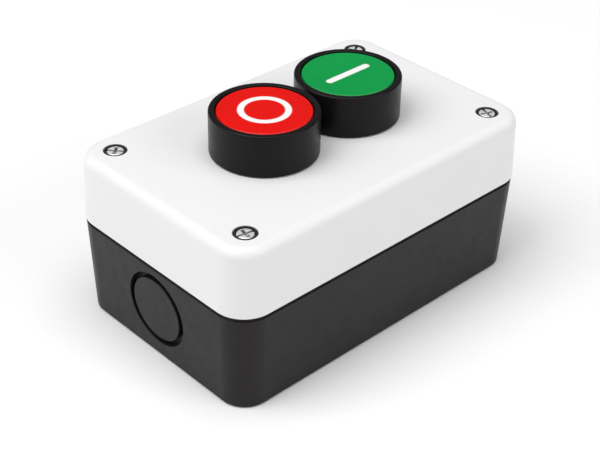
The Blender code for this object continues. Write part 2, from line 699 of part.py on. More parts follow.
def clip_notch(label, side, axis):
    """A cutter for the notch that a clip's nose holds, right across the end of a block."""
    inner, outer = BLOCK_LENGTH / 2 - NOTCH_DEPTH, BLOCK_LENGTH / 2 + OVERCUT
    return block(
        f"{label}_{side}",
        (min(side * inner, side * outer), -BLOCK_WIDTH, NOTCH_BOTTOM),
        (max(side * inner, side * outer), BLOCK_WIDTH, NOTCH_TOP),
        parent=axis,
    )


def contact_cover(name, axis):
    """The lid on the open side of a block's tray."""
    outline, outside = block_outline(SHOULDER_TOP), BLOCK_WIDTH / 2
    cover = plate(f"{name}_contact_cover", outline, COVER_FACE, outside, COVER_PLASTIC, axis)
    for side in (-1, 1):
        cut(cover, clip_notch(f"{name}_cover_notch", side, axis))


def fixed_contact(name, side, axis, outline, pad_bottom):
    """A brass strip with a hole for its terminal screw and a pad that the bridge meets."""
    label = "left" if side < 0 else "right"
    points = [(side * x, z) for x, z in outline]
    if side < 0:
        points.reverse()
    full = f"{name}_fixed_contact_{label}"
    strip = plate(full, points, -STRIP_HALF_WIDTH, STRIP_HALF_WIDTH, BRASS, axis)
    pad_top = pad_bottom + PAD_HEIGHT + PAD_ROOT
    join(strip, fine_rod(f"{full}_pad", side * PAD_X, PAD_RADIUS, pad_bottom, pad_top, axis))
    top = BAY_FLOOR + 2 * MM
    cut(strip, fine_rod(f"{full}_hole", side * TERMINAL_X, TERMINAL_HOLE_RADIUS, BAY_FLOOR, top, axis))


def fine_rod(name, x, radius, bottom, top, axis):
    """A cutter or an addition round an upright line at x, in a contact block."""
    return rod(name, (x, 0), radius, bottom, top, parent=axis, steps=FINE_ROUND_STEPS)


def closed_contact_outline():
    """A straight strip above the bridge: the circuit opens as the bridge is pushed down."""
    near, far = 4.4 * MM, 18.6 * MM
    top = STRIP_BOTTOM + STRIP
    return [(near, STRIP_BOTTOM), (far, STRIP_BOTTOM), (far, top), (near, top)]


def open_contact_outline():
    """A strip that steps down under the bridge by the travel: the circuit closes as the bridge comes down."""
    near, riser, far = 4.4 * MM, 8.8 * MM, 18.6 * MM
    low = open_pad_bottom() - STRIP
    top = STRIP_BOTTOM + STRIP
    lower = [(near, low), (riser + STRIP, low), (riser + STRIP, STRIP_BOTTOM), (far, STRIP_BOTTOM)]
    return lower + [(far, top), (riser, top), (riser, low + STRIP), (near, low + STRIP)]


def open_pad_bottom():
    return BRIDGE_BOTTOM - PAD_HEIGHT - TRAVEL - GAP - PAD_HEIGHT


def contact_bridge(name, axis, pads_up):
    """The moving brass bar, with a pad at each end."""
    low = (-BRIDGE_HALF_LENGTH, -BRIDGE_HALF_WIDTH, BRIDGE_BOTTOM)
    high = (BRIDGE_HALF_LENGTH, BRIDGE_HALF_WIDTH, BRIDGE_TOP)
    bridge = block(f"{name}_contact_bridge", low, high, BRASS, axis)
    if pads_up:
        bottom, top = BRIDGE_TOP - PAD_ROOT, BRIDGE_TOP + PAD_HEIGHT
    else:
        bottom, top = BRIDGE_BOTTOM - PAD_HEIGHT, BRIDGE_BOTTOM + PAD_ROOT
    for side in (-1, 1):
        join(bridge, fine_rod(f"{name}_bridge_pad_{side}", side * PAD_X, PAD_RADIUS, bottom, top, axis))


def contact_plunger(name, axis, finish):
    """The sliding carrier: a head through the housing's roof, a window for the bridge and a tail."""
    half, frame_x, frame_y = PLUNGER_HEAD_HALF, 2.8 * MM, 3.4 * MM
    frame_top = WINDOW_TOP + 2 * MM
    overlap = 0.5 * MM
    low, high = (-frame_x, -frame_y, COLLAR_BOTTOM), (frame_x, frame_y, frame_top)
    plunger = block(f"{name}_contact_plunger", low, high, finish, axis)
    low, high = (-half, -half, frame_top - overlap), (half, half, STEM_TIP - GAP)
    top = block(f"{name}_plunger_head", low, high, parent=axis)
    tail_tip = BLOCK_FLOOR + TRAVEL + 2 * GAP
    tail = fine_rod(f"{name}_plunger_tail", 0, 1.6 * MM, tail_tip, COLLAR_BOTTOM + overlap, axis)
    opening = BRIDGE_HALF_WIDTH + GAP
    low, high = (-2 * frame_x, -opening, WINDOW_BOTTOM), (2 * frame_x, opening, WINDOW_TOP)
    window = block(f"{name}_plunger_window", low, high, parent=axis)
    join(plunger, top, tail)
    cut(plunger, window)
    coil(f"{name}_contact_spring", 2.3 * MM, 0.25 * MM, BLOCK_FLOOR + GAP, COLLAR_BOTTOM - GAP, 5, axis)


def terminal(name, side, axis):
    """A clamp plate and its screw, in a terminal bay."""
    label = "left" if side < 0 else "right"
    x = side * TERMINAL_X
    half = 3.2 * MM
    bottom = STRIP_BOTTOM + STRIP + GAP
    low, high = (x - half, -half, bottom), (x + half, half, bottom + 1.0 * MM)
    clamp = block(f"{name}_terminal_clamp_{label}", low, high, PLATED_STEEL, axis)
    hole_bottom, hole_top = bottom - OVERCUT, high[2] + OVERCUT
    cut(clamp, fine_rod(f"{name}_clamp_hole_{label}", x, TERMINAL_HOLE_RADIUS, hole_bottom, hole_top, axis))
    seat = high[2] + GAP
    top = seat + 2.0 * MM
    radius, shank, tip, edge = 2.9 * MM, 1.7 * MM, 10.0 * MM, 0.4 * MM
    profile = [(0, top), (radius - edge, top), (radius, top - edge), (radius, seat)]
    profile += [(shank, seat), (shank, tip), (0, tip)]
    screw = turned(f"{name}_terminal_screw_{label}", profile, PLATED_STEEL, axis, SMALL_ROUND_STEPS)
    screw.location.x = x
    slot_half = 0.4 * MM
    slot = block(
        f"{name}_screw_slot_{label}",
        (x - slot_half, -radius - OVERCUT, top - 0.9 * MM),
        (x + slot_half, radius + OVERCUT, top + OVERCUT),
        parent=axis,
    )
    cut(screw, slot)


def contact_block(name, axis, normally_closed):
    contact_housing(name, axis)
    contact_cover(name, axis)
    if normally_closed:
        outline, pad_bottom = closed_contact_outline(), STRIP_BOTTOM - PAD_HEIGHT
    else:
        outline, pad_bottom = open_contact_outline(), open_pad_bottom() - 0.2 * MM
    for side in (-1, 1):
        fixed_contact(name, side, axis, outline, pad_bottom)
        terminal(name, side, axis)
    contact_bridge(name, axis, normally_closed)
    contact_plunger(name, axis, PLUNGER_RED if normally_closed else PLUNGER_GREEN)


clear_scene()
PARTS = new_collection("push_button_control_station")
CUTTERS = new_collection("cutters")

base_box()
lid()
lid_gasket()
for place, (screw_x, screw_y) in enumerate(screw_places(), 1):
    lid_screw(place, screw_x, screw_y, math.radians(40 * place))

stop_axis = stand("stop_axis", 0, -HEAD_PITCH / 2)
start_axis = stand("start_axis", 0, HEAD_PITCH / 2)
head("stop", stop_axis, stop_cap)
head("start", start_axis, start_cap)
contact_block("stop", stop_axis, True)
contact_block("start", start_axis, False)
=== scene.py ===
"""The looks of the two-button control station: finer meshes and real finishes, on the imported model's frame.

Every piece's mesh is in the frame's own coordinates, in metres. The back of the station lies on z = 0, the
buttons face +Z and the long side runs along Y.
"""

import math

import bmesh
import bpy
from mathutils import Matrix, Vector

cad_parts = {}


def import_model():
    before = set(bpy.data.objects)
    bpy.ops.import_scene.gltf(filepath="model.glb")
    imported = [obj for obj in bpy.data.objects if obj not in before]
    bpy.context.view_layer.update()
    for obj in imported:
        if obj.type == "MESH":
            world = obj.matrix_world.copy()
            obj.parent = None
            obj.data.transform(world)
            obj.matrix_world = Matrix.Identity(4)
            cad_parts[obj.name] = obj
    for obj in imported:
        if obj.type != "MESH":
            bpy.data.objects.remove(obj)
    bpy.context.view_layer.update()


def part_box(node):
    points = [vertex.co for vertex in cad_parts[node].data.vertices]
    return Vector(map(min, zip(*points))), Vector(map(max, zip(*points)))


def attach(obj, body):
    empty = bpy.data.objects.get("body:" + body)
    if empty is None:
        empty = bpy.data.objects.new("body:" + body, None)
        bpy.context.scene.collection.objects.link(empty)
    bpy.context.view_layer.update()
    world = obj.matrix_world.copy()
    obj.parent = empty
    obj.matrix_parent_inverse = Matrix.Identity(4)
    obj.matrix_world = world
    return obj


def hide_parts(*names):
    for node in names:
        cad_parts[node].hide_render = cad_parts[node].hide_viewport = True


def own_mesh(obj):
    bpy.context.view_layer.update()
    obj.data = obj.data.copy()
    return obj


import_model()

MM = 0.001
HEADS = ("stop", "start")
SIDES = {"left": -1, "right": 1}
GAP = 0.3 * MM  # the clearance between neighbouring parts
TOOL_OVERRUN = 1.0 * MM  # how far a cutting shape runs past the face that it opens

# Levels and half sizes read from the frame
LID_LOW, LID_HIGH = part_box("lid")
HALF_X, HALF_Y = LID_HIGH.x, LID_HIGH.y
BOX_TOP = LID_HIGH.z
LID_BOTTOM = LID_LOW.z
TONGUE_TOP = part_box("base_box")[1].z

# Enclosure
CORNER_RADIUS = 8.8 * MM
WALL = 2.5 * MM
BURIED = WALL / 2  # the level in the floor that ribs and posts start from
BASE_RIM = LID_BOTTOM - GAP
BASE_STEP = 0.2 * MM
BASE_DRAFT = 1.2 * MM
SHADOW_GAP_DEPTH = 0.5 * MM
SHADOW_GAP_HEIGHT = 0.7 * MM
LID_DRAFT = 0.8 * MM
LID_EDGE_RADIUS = 2.6 * MM
TONGUE = 1.0 * MM
TONGUE_INSET = 1.8 * MM
BOSS_RADIUS = 5.0 * MM
SCREW_HOLE_RADIUS = 2.05 * MM
SCREW_RECESS_RADIUS = 3.15 * MM
SCREW_RECESS_DEPTH = 3.1 * MM
FIXING_HOLE_RADIUS = 2.15 * MM
FIXING_HOLE_Y = 34.0 * MM
EJECTOR_PINS = [(x * MM, y * MM) for x in (-26, 26) for y in (-20, 0, 20)]
KNOCKOUT_HEIGHT = 15.3 * MM
KNOCKOUT_RADIUS = 9.95 * MM
KNOCKOUT_GROOVE = 1.6 * MM
KNOCKOUT_DEPTH = 2.1 * MM

# Heads
BARREL_RADIUS = 10.85 * MM
PISTON_BORE = 9.0 * MM
MARK_OUTER = 7.0 * MM
MARK_INNER = 5.3 * MM
MARK_DEPTH = 0.6 * MM
MARK_JOINT = 0.03 * MM  # the fine line round a second-shot mark
MARK_EDGE = 0.04 * MM

# Contact blocks
BLOCK_HALF_LENGTH = 20.0 * MM
BLOCK_HALF_WIDTH = 5.8 * MM
BLOCK_WALL = 1.2 * MM
TOWER_HALF = 11.5 * MM
SHOULDER_TOP = 22.0 * MM
BAY_FLOOR = 17.9 * MM
NOTCH_BOTTOM = 8.0 * MM
NOTCH_TOP = 10.1 * MM
NOTCH_DEPTH = 1.0 * MM
TERMINAL_X = 15.2 * MM
TERMINAL_HOLE_RADIUS = 2.1 * MM
COVER_PINS = [(x * MM, z * MM) for x, z in ((-16, 14), (16, 14), (-9, 5.5), (9, 5.5))]
STRIP = 0.8 * MM
STRIP_SLOT = 2.8 * MM  # half the width of the slots that the strips pass through
PAD_X = 6.2 * MM
PAD_RADIUS = 1.5 * MM
PAD_HEIGHT = 0.5 * MM
PAD_ROOT = 0.2 * MM  # how far a pad runs into its strip

# Mesh fineness
ROUND_STEPS = 96
SMALL_ROUND_STEPS = 48
CORNER_STEPS = 14
FILLET_STEPS = 4
SHARP_ANGLE = math.radians(35)
WELD = 0.002 * MM


# Shapes


def rounded(points, steps=FILLET_STEPS):
    """A line of (a, b) or (a, b, radius) points, with an arc of that radius at each corner that has one."""
    line = []
    for i, (a, b, *radius) in enumerate(points):
        corner = Vector((a, b))
        if not radius:
            line.append(corner)
            continue
        before = (Vector(points[i - 1][:2]) - corner).normalized()
        after = (Vector(points[(i + 1) % len(points)][:2]) - corner).normalized()
        half = before.angle(after) / 2
        centre = corner + (before + after).normalized() * radius[0] / math.sin(half)
        arm = corner + before * radius[0] / math.tan(half) - centre
        turn = math.copysign(math.pi - 2 * half, after.cross(before))
        for step in range(steps + 1):
            line.append(centre + Matrix.Rotation(turn * step / steps, 2) @ arm)
    return [tuple(point) for point in line]


def cleaned(mesh):
    """The mesh with points that coincide welded, and with all its faces turned outwards."""
    work = bmesh.new()
    work.from_mesh(mesh)
    bmesh.ops.remove_doubles(work, verts=work.verts, dist=WELD)
    bmesh.ops.dissolve_degenerate(work, edges=work.edges, dist=WELD)
    bmesh.ops.recalc_face_normals(work, faces=work.faces)
    work.to_mesh(mesh)
    work.free()
    return mesh


def mesh_object(name, points, faces):
    """An object in the scene from points and from faces given as lists of point numbers."""
    mesh = bpy.data.meshes.new(name)
    mesh.from_pydata(points, [], faces)
    obj = bpy.data.objects.new(name, cleaned(mesh))
    bpy.context.scene.collection.objects.link(obj)
    return obj


def strip_faces(lower, upper):
    """Faces between two rings of point numbers. A ring may be a single point."""
    count = max(len(lower), len(upper))
    faces = []
    for i in range(count):
        j = i + 1
        corners = [lower[i % len(lower)], lower[j % len(lower)]]
        corners += [upper[j % len(upper)], upper[i % len(upper)]]
        faces.append(list(dict.fromkeys(corners)))
    return faces


def lathe(name, profile, centre=(0.0, 0.0), steps=ROUND_STEPS, surface=None):
    """A (radius, height) profile turned about the upright axis through centre.

    surface gives the radius to use for a (radius, height, angle), as a thread needs.
    """
    rings, points = [], []
    for radius, height in profile:
        count = steps if radius > 0 else 1
        rings.append(range(len(points), len(points) + count))
        for step in range(count):
            angle = math.tau * step / steps
            reach = surface(radius, height, angle) if surface else radius
            points.append((centre[0] + reach * math.cos(angle), centre[1] + reach * math.sin(angle), height))
    pairs = list(zip(rings, rings[1:]))
    if profile[0][0] > 0:
        pairs.append((rings[-1], rings[0]))
    return mesh_object(name, points, [face for pair in pairs for face in strip_faces(*pair)])


def outline(half_x, half_y, radius, steps=CORNER_STEPS):
    """The points round a rectangle with rounded corners."""
    points = []
    for corner, (sign_x, sign_y) in enumerate(((1, 1), (-1, 1), (-1, -1), (1, -1))):
        for step in range(steps + 1):
            angle = math.pi / 2 * (corner + step / steps)
            x = sign_x * (half_x - radius) + radius * math.cos(angle)
            y = sign_y * (half_y - radius) + radius * math.sin(angle)
            points.append((x, y))
    return points


def swept(name, half_x, half_y, radius, profile, centre=(0.0, 0.0), ring=False, steps=CORNER_STEPS):
    """(inset, height) points carried round a rounded rectangle.

    A ring profile closes on itself, and any other is capped at both ends.
    """
    rings, points = [], []
    for inset, height in profile:
        around = outline(half_x - inset, half_y - inset, max(radius - inset, 0.01 * MM), steps)
        rings.append(list(range(len(points), len(points) + len(around))))
        points += [(centre[0] + x, centre[1] + y, height) for x, y in around]
    faces = [face for pair in zip(rings, rings[1:]) for face in strip_faces(*pair)]
    faces += strip_faces(rings[-1], rings[0]) if ring else [rings[0], rings[-1]]
    return mesh_object(name, points, faces)


def plate(name, around, low, high, centre=(0.0, 0.0)):
    """A flat outline of (x, z) points made into a plate from y = low to y = high."""
    count = len(around)
    points = [(centre[0] + x, centre[1] + y, z) for y in (low, high) for x, z in around]
    faces = [list(range(count)), list(range(count, 2 * count))]
    faces += strip_faces(range(count), range(count, 2 * count))
    return mesh_object(name, points, faces)


def block(name, low, high):
    """A plain box, as a tool for a cut or as a part of a larger moulding."""
    (x0, y0, z0), (x1, y1, z1) = low, high
    return plate(name, [(x0, z0), (x1, z0), (x1, z1), (x0, z1)], y0, y1)


def rod(name, centre, radius, bottom, top, steps=SMALL_ROUND_STEPS):
    """An upright cylinder with flat ends."""
    points = []
    for height in (bottom, top):
        for step in range(steps):
            angle = math.tau * step / steps
            x, y = radius * math.cos(angle), radius * math.sin(angle)
            points.append((centre[0] + x, centre[1] + y, height))
    rings = range(steps), range(steps, 2 * steps)
    return mesh_object(name, points, [list(rings[0]), list(rings[1]), *strip_faces(*rings)])


def shaped(obj, joined=(), cut=()):
    """The object with some shapes joined to it, and then others cut from it. The shapes are used up."""
    for tool, operation in [(tool, "UNION") for tool in joined] + [(tool, "DIFFERENCE") for tool in cut]:
        modifier = obj.modifiers.new(tool.name, "BOOLEAN")
        modifier.object = tool
        modifier.operation = operation
        modifier.solver = "EXACT"
    bpy.context.view_layer.update()
    graph = bpy.context.evaluated_depsgraph_get()
    obj.data = cleaned(bpy.data.meshes.new_from_object(obj.evaluated_get(graph)))
    obj.modifiers.clear()
    for tool in (*joined, *cut):
        bpy.data.objects.remove(tool)
    return obj


def coil(name, centre, radius, wire, bottom, top, turns):
    """A compression spring with closed ends that are ground flat."""
    around, steps = 12, 36  # points round the wire, and along one turn
    low, high = bottom + 0.6 * wire, top - 0.6 * wire  # the ends are ground off beyond these
    closed = 2.0 * wire  # the rise of an end turn
    points, rings = [], []
    for i in range(turns * steps + 1):
        turn = i / steps
        eased = min(max((turn - 1) / (turns - 2), 0), 1)
        height = low + closed * (min(turn, 1) + max(turn - turns + 1, 0)) + (high - low - 2 * closed) * eased
        rings.append(range(len(points), len(points) + around))
        for step in range(around):
            angle = math.tau * step / around
            reach = radius + wire * math.cos(angle)
            z = min(max(height + wire * math.sin(angle), bottom), top)
            bearing = math.tau * turn
            points.append((centre[0] + reach * math.cos(bearing), centre[1] + reach * math.sin(bearing), z))
    faces = [face for pair in zip(rings, rings[1:]) for face in strip_faces(*pair)]
    return mesh_object(name, points, [*faces, list(rings[0]), list(rings[-1])])


def thread(radius, pitch, depth, bottom, top):
    """A surface for lathe: a helical thread on the points of one radius between two heights."""

    def surface(reach, height, angle):
        if abs(reach - radius) > WELD / 2 or not bottom <= height <= top:
            return reach
        run_out = min(1, (height - bottom) / pitch, (top - height) / pitch)
        phase = (height / pitch - angle / math.tau) % 1
        return reach - depth * run_out * (1 - abs(2 * phase - 1))

    return surface


def thread_points(radius, pitch, bottom, top):
    """The profile points, from the top down, that a thread needs."""
    per_turn = 6
    count = math.ceil((top - bottom) / pitch * per_turn)
    return [(radius, top + (bottom - top) * i / count) for i in range(count + 1)]


# Finishes


class Finish:
    """A Principled material, with short calls for the nodes that drive it."""

    def __init__(self, name, **sockets):
        self.material = bpy.data.materials.new(name)
        self.material.use_nodes = True
        self.tree = self.material.node_tree
        self.shader = self.tree.nodes["Principled BSDF"]
        for socket, value in sockets.items():
            self.shader.inputs[socket.replace("_", " ")].default_value = value
        self.place = self.node("TexCoord").outputs["Object"]

    def node(self, kind, inputs=None, **settings):
        made = self.tree.nodes.new("ShaderNode" + kind)
        for setting, value in settings.items():
            setattr(made, setting, value)
        for socket, value in (inputs or {}).items():
            self.feed(made.inputs[socket], value)
        return made

    def feed(self, socket, value):
        if isinstance(value, bpy.types.NodeSocket):
            self.tree.links.new(value, socket)
        else:
            socket.default_value = value

    def noise(self, size, detail=2.0, place=None):
        """Noise with features of about a size, in metres."""
        inputs = {"Vector": place or self.place, "Scale": 1 / size, "Detail": detail}
        return self.node("TexNoise", inputs).outputs["Fac"]

    def stretched(self, size, stretch):
        """Noise drawn out along Z, as by drawing or machining."""
        scale = self.node("Mapping", {"Vector": self.place, "Scale": (1.0, 1.0, 1 / stretch)})
        return self.noise(size, 3.0, scale.outputs["Vector"])

    def ramp(self, value, low, high, at_low=0.0, at_high=1.0):
        inputs = {"Value": value, "From Min": low, "From Max": high, "To Min": at_low, "To Max": at_high}
        return self.node("MapRange", inputs).outputs["Result"]

    def mix(self, share, first, second):
        made = self.node("Mix", data_type="RGBA")
        self.feed(made.inputs[0], share)
        self.feed(made.inputs[6], first)
        self.feed(made.inputs[7], second)
        return made.outputs[2]

    def math(self, operation, first, second):
        return self.node("Math", {0: first, 1: second}, operation=operation).outputs[0]

    def edges(self, radius):
        """1 on an edge that is sharper than radius, and 0 on flat or broadly curved surfaces."""
        bevelled = self.node("Bevel", {"Radius": radius}, samples=4).outputs["Normal"]
        normal = self.node("NewGeometry").outputs["Normal"]
        along = self.node("VectorMath", {0: bevelled, 1: normal}, operation="DOT_PRODUCT").outputs["Value"]
        return self.ramp(along, 0.995, 0.9)  # cosines of the angle that the bevel turns the normal by

    def shaded_hollows(self):
        """1 deep in slots and narrow gaps, where the colour gets painted shade, and 0 in the open."""
        clear = self.node("AmbientOcclusion", {"Distance": 1.5 * MM}, samples=8).outputs["AO"]
        return self.ramp(clear, 0.75, 0.4)

    def bumps(self, *layers):
        """Sets the normal from (height, depth) layers."""
        normal = None
        for height, depth in layers:
            inputs = {"Height": height, "Distance": depth, "Strength": 1.0}
            if normal:
                inputs["Normal"] = normal
            normal = self.node("Bump", inputs).outputs["Normal"]
        self.feed(self.shader.inputs["Normal"], normal)

    def colour(self, value):
        self.feed(self.shader.inputs["Base Color"], value)

    def roughness(self, value):
        self.feed(self.shader.inputs["Roughness"], value)


def shade(colour, by):
    """The colour made lighter or darker."""
    return (*(min(max(channel * by, 0.0), 1.0) for channel in colour), 1.0)


def moulded(name, colour, roughness, grain, depth, mottle, edge_light, pale=0.0, **sockets):
    """Injection-moulded plastic: a spark-eroded grain, faint flow marks, and edges that handling has made
    glossier and that carry a painted highlight.

    grain is the size of the grains and depth their depth. mottle is the share by which the colour varies.
    The colour of the edges is multiplied by edge_light, and pale is added to it: a painted sheen and
    highlight.
    """
    look = Finish(name, **sockets)
    grains = look.noise(grain, 3.0)
    cloud = look.noise(14 * MM, 4.0)
    smears = look.noise(3.2 * MM, 3.0)
    body = look.mix(look.ramp(cloud, 0.3, 0.7), shade(colour, 1 - mottle), shade(colour, 1 + mottle))
    body = look.mix(look.ramp(grains, 0.35, 0.75, 0.0, 0.35), body, shade(colour, 1 + 2.5 * mottle))
    # Edge mask broken up by the smears: worn, glossier edges, and where the painted highlight goes
    worn_and_highlit = look.math("MULTIPLY", look.edges(0.45 * MM), look.ramp(smears, 0.35, 0.6, 0.25, 0.9))
    # The edges' colour made lighter: a painted highlight, not a colour of the plastic
    highlit_edge_colour = shade([channel * edge_light + pale for channel in colour], 1)
    look.colour(look.mix(worn_and_highlit, body, highlit_edge_colour))
    uneven = look.ramp(smears, 0.3, 0.7, roughness - 0.05, roughness + 0.05)
    look.roughness(look.math("SUBTRACT", uneven, look.math("MULTIPLY", worn_and_highlit, 0.1)))
    look.bumps((cloud, 0.05 * MM), (grains, depth))
    return look.material


def rubber(name, colour):
    """Moulded rubber: dull, with a fine bloom and a little dust."""
    look = Finish(name, Specular_IOR_Level=0.35)
    bloom = look.noise(1.6 * MM, 5.0)
    grains = look.noise(0.22 * MM, 2.0)
    look.colour(look.mix(look.ramp(bloom, 0.4, 0.75), shade(colour, 0.8), shade(colour, 1.9)))
    look.roughness(look.ramp(bloom, 0.3, 0.7, 0.62, 0.82))
    look.bumps((grains, 0.02 * MM))
    return look.material


def metal(name, colour, roughness, tarnish, metallic=1.0):
    """Plated or rolled metal: drawn lines, a thin uneven tarnish, brighter edges and painted shade in its
    slots.

    A dull plating is not wholly metallic.
    """
    look = Finish(name, Metallic=metallic)
    lines = look.stretched(0.12 * MM, stretch=14.0)
    stain = look.noise(1.8 * MM, 4.0)
    scratches = look.noise(0.35 * MM, 6.0)
    body = look.mix(look.ramp(stain, 0.35, 0.7), (*colour, 1.0), (*tarnish, 1.0))
    body = look.mix(look.edges(0.15 * MM), body, shade(colour, 1.12))
    # Painted shade: the colour darkened deep in slots and gaps
    look.colour(look.mix(look.shaded_hollows(), body, shade(colour, 0.45)))
    dull = look.ramp(stain, 0.3, 0.7, roughness - 0.07, roughness + 0.1)
    look.roughness(look.math("ADD", dull, look.ramp(lines, 0.4, 0.7, 0.0, 0.08)))
    look.bumps((lines, 0.004 * MM), (scratches, 0.006 * MM))
    return look.material


LID_PLASTIC = moulded(
    "lid_plastic",
    (0.84, 0.835, 0.84),
    roughness=0.42,
    grain=0.5 * MM,
    depth=0.012 * MM,
    mottle=0.008,
    edge_light=1.02,
)
BASE_PLASTIC = moulded(
    "base_plastic",
    (0.012, 0.0095, 0.0102),
    roughness=0.4,
    grain=0.4 * MM,
    depth=0.02 * MM,
    mottle=0.09,
    # edge_light lightens the edges: a painted sheen
    edge_light=1.9,
    Specular_IOR_Level=0.2,
)
BLACK_PLASTIC = moulded(
    "black_plastic",
    (0.007, 0.0058, 0.0064),
    roughness=0.33,
    grain=0.35 * MM,
    depth=0.01 * MM,
    mottle=0.08,
    # edge_light lightens the edges: a painted sheen
    edge_light=2.0,
    Specular_IOR_Level=0.15,
)
CAP_LOOK = {
    "roughness": 0.25,
    "grain": 0.6 * MM,
    "depth": 0.006 * MM,
    "mottle": 0.06,
    "edge_light": 1.0,
    # pale lightens the caps' rounded rims: a painted highlight
    "pale": 0.2,
    "Specular_IOR_Level": 0.16,
}
RED_PLASTIC = moulded("red_plastic", (0.72, 0.003, 0.001), **CAP_LOOK)
GREEN_PLASTIC = moulded("green_plastic", (0.0005, 0.29, 0.058), **CAP_LOOK)
MARK_PLASTIC = moulded(
    "mark_plastic",
    (0.88, 0.88, 0.87),
    roughness=0.3,
    grain=0.6 * MM,
    depth=0.006 * MM,
    mottle=0.01,
    edge_light=1.0,
    Specular_IOR_Level=0.3,
)
STEM_PLASTIC = moulded(
    "stem_plastic",
    (0.72, 0.70, 0.63),
    roughness=0.4,
    grain=0.5 * MM,
    depth=0.01 * MM,
    mottle=0.03,
    edge_light=1.05,
    Subsurface_Weight=0.15,
)
BLOCK_PLASTIC = moulded(
    "block_plastic",
    (0.03, 0.031, 0.034),
    roughness=0.46,
    grain=0.35 * MM,
    depth=0.02 * MM,
    mottle=0.08,
    # edge_light lightens the edges: a painted sheen
    edge_light=1.6,
)
COVER_PLASTIC = moulded(
    "cover_plastic",
    (0.3, 0.31, 0.32),
    roughness=0.45,
    grain=0.35 * MM,
    depth=0.015 * MM,
    mottle=0.04,
    edge_light=1.15,
)
PLUNGER_LOOK = {"roughness": 0.4, "grain": 0.4 * MM, "depth": 0.01 * MM, "mottle": 0.05}
RED_PLUNGER = moulded("red_plunger", (0.5, 0.018, 0.012), edge_light=1.15, **PLUNGER_LOOK)
GREEN_PLUNGER = moulded("green_plunger", (0.008, 0.25, 0.07), edge_light=1.2, **PLUNGER_LOOK)
SEAL_RUBBER = rubber("seal_rubber", (0.016, 0.016, 0.017))
LID_SCREW_STEEL = metal(
    "lid_screw_steel", (0.93, 0.93, 0.93), roughness=0.32, tarnish=(0.82, 0.82, 0.81), metallic=0.5
)
PLATED_STEEL = metal(
    "plated_steel", (0.86, 0.86, 0.84), roughness=0.3, tarnish=(0.7, 0.69, 0.66), metallic=0.85
)
SPRING_STEEL = metal("spring_steel", (0.66, 0.66, 0.67), roughness=0.24, tarnish=(0.45, 0.44, 0.43))
BRASS = metal("brass", (0.83, 0.62, 0.28), roughness=0.27, tarnish=(0.62, 0.40, 0.17))


def piece(obj, look, body, node, edge=0.0):
    """Finishes a piece, rounds its sharp edges by edge and hands it to the frame in place of a CAD node."""
    obj.data.materials.clear()
    obj.data.materials.append(look)
    obj.data.shade_smooth()
    obj.data.set_sharp_from_angle(angle=SHARP_ANGLE)
    if edge:
        bevel = obj.modifiers.new("soft_edges", "BEVEL")
        bevel.width = edge
        bevel.segments = 2
        bevel.limit_method = "ANGLE"
        bevel.angle_limit = SHARP_ANGLE
        bevel.use_clamp_overlap = False
        welded = obj.modifiers.new("welded", "WELD")
        welded.merge_threshold = WELD
    weighted = obj.modifiers.new("flat_faces_stay_flat", "WEIGHTED_NORMAL")
    weighted.keep_sharp = True
    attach(obj, body)
    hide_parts(node)


# Enclosure


def base_inset(height):
    """How far the base's outside stands in from the lid's outline at a height."""
    return BASE_STEP + BASE_DRAFT * (1 - height / BASE_RIM)


def screw_places():
    """The centres of the lid screws, on plan."""
    middles = [sum(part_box(f"lid_screw_{number}"), Vector()) / 2 for number in range(1, 5)]
    return [middle.xy for middle in middles]


def head_centre(name):
    """The centre of a head, on plan."""
    low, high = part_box(f"{name}_bezel")
    return ((low + high) / 2).xy


def boss(number, x, y):
    """A post for a lid screw, with two webs to the walls."""
    web = 1.0 * MM
    wall_x = math.copysign(HALF_X - WALL, x)
    wall_y = math.copysign(HALF_Y - WALL, y)
    high = BASE_RIM - web
    profile = [(0, BASE_RIM), (BOSS_RADIUS, BASE_RIM, 0.4 * MM), (BOSS_RADIUS, BURIED), (0, BURIED)]
    post = lathe(f"post_{number}", rounded(profile), (x, y), SMALL_ROUND_STEPS)
    across = block(f"web_x_{number}", (min(x, wall_x), y - web, BURIED), (max(x, wall_x), y + web, high))
    along = block(f"web_y_{number}", (x - web, min(y, wall_y), BURIED), (x + web, max(y, wall_y), high))
    return post, across, along


def clips():
    """The posts at the ends of the contact blocks, each with a nose that holds a block down."""
    near = BLOCK_HALF_LENGTH + GAP
    far, nose = near + 2.0 * MM, near - 1.0 * MM
    nose_root, nose_low, nose_high, top = 8.3 * MM, 8.6 * MM, 8.9 * MM, 9.8 * MM
    half_width = 3.0 * MM
    profile = [(far, BURIED), (near, BURIED), (near, nose_root), (nose, nose_low), (nose, nose_high)]
    profile += [(near, top), (far, top)]
    made = []
    for name in HEADS:
        y = head_centre(name).y
        for side in SIDES.values():
            turned = [(side * x, z) for x, z in profile]
            made.append(plate(f"clip_{name}_{side}", turned, -half_width, half_width, (0, y)))
    return made


def floor_rings():
    """Raised rings round the fixing holes, and the marks that ejector pins leave on a moulded floor."""
    foot, rim, inside = FIXING_HOLE_RADIUS + 2.2 * MM, FIXING_HOLE_RADIUS + 2.0 * MM, FIXING_HOLE_RADIUS / 2
    top = WALL + 0.8 * MM
    ring = [(foot, BURIED), (rim, top), (inside, top), (inside, BURIED)]
    rings = []
    for end in (-1, 1):
        rings.append(lathe(f"fixing_ring_{end}", ring, (0, end * FIXING_HOLE_Y), SMALL_ROUND_STEPS))
    radius, depth = 2.0 * MM, 0.12 * MM
    pins = []
    for number, place in enumerate(EJECTOR_PINS):
        pins.append(rod(f"pin_{number}", place, radius, WALL - depth, WALL + TOOL_OVERRUN))
    return rings, pins


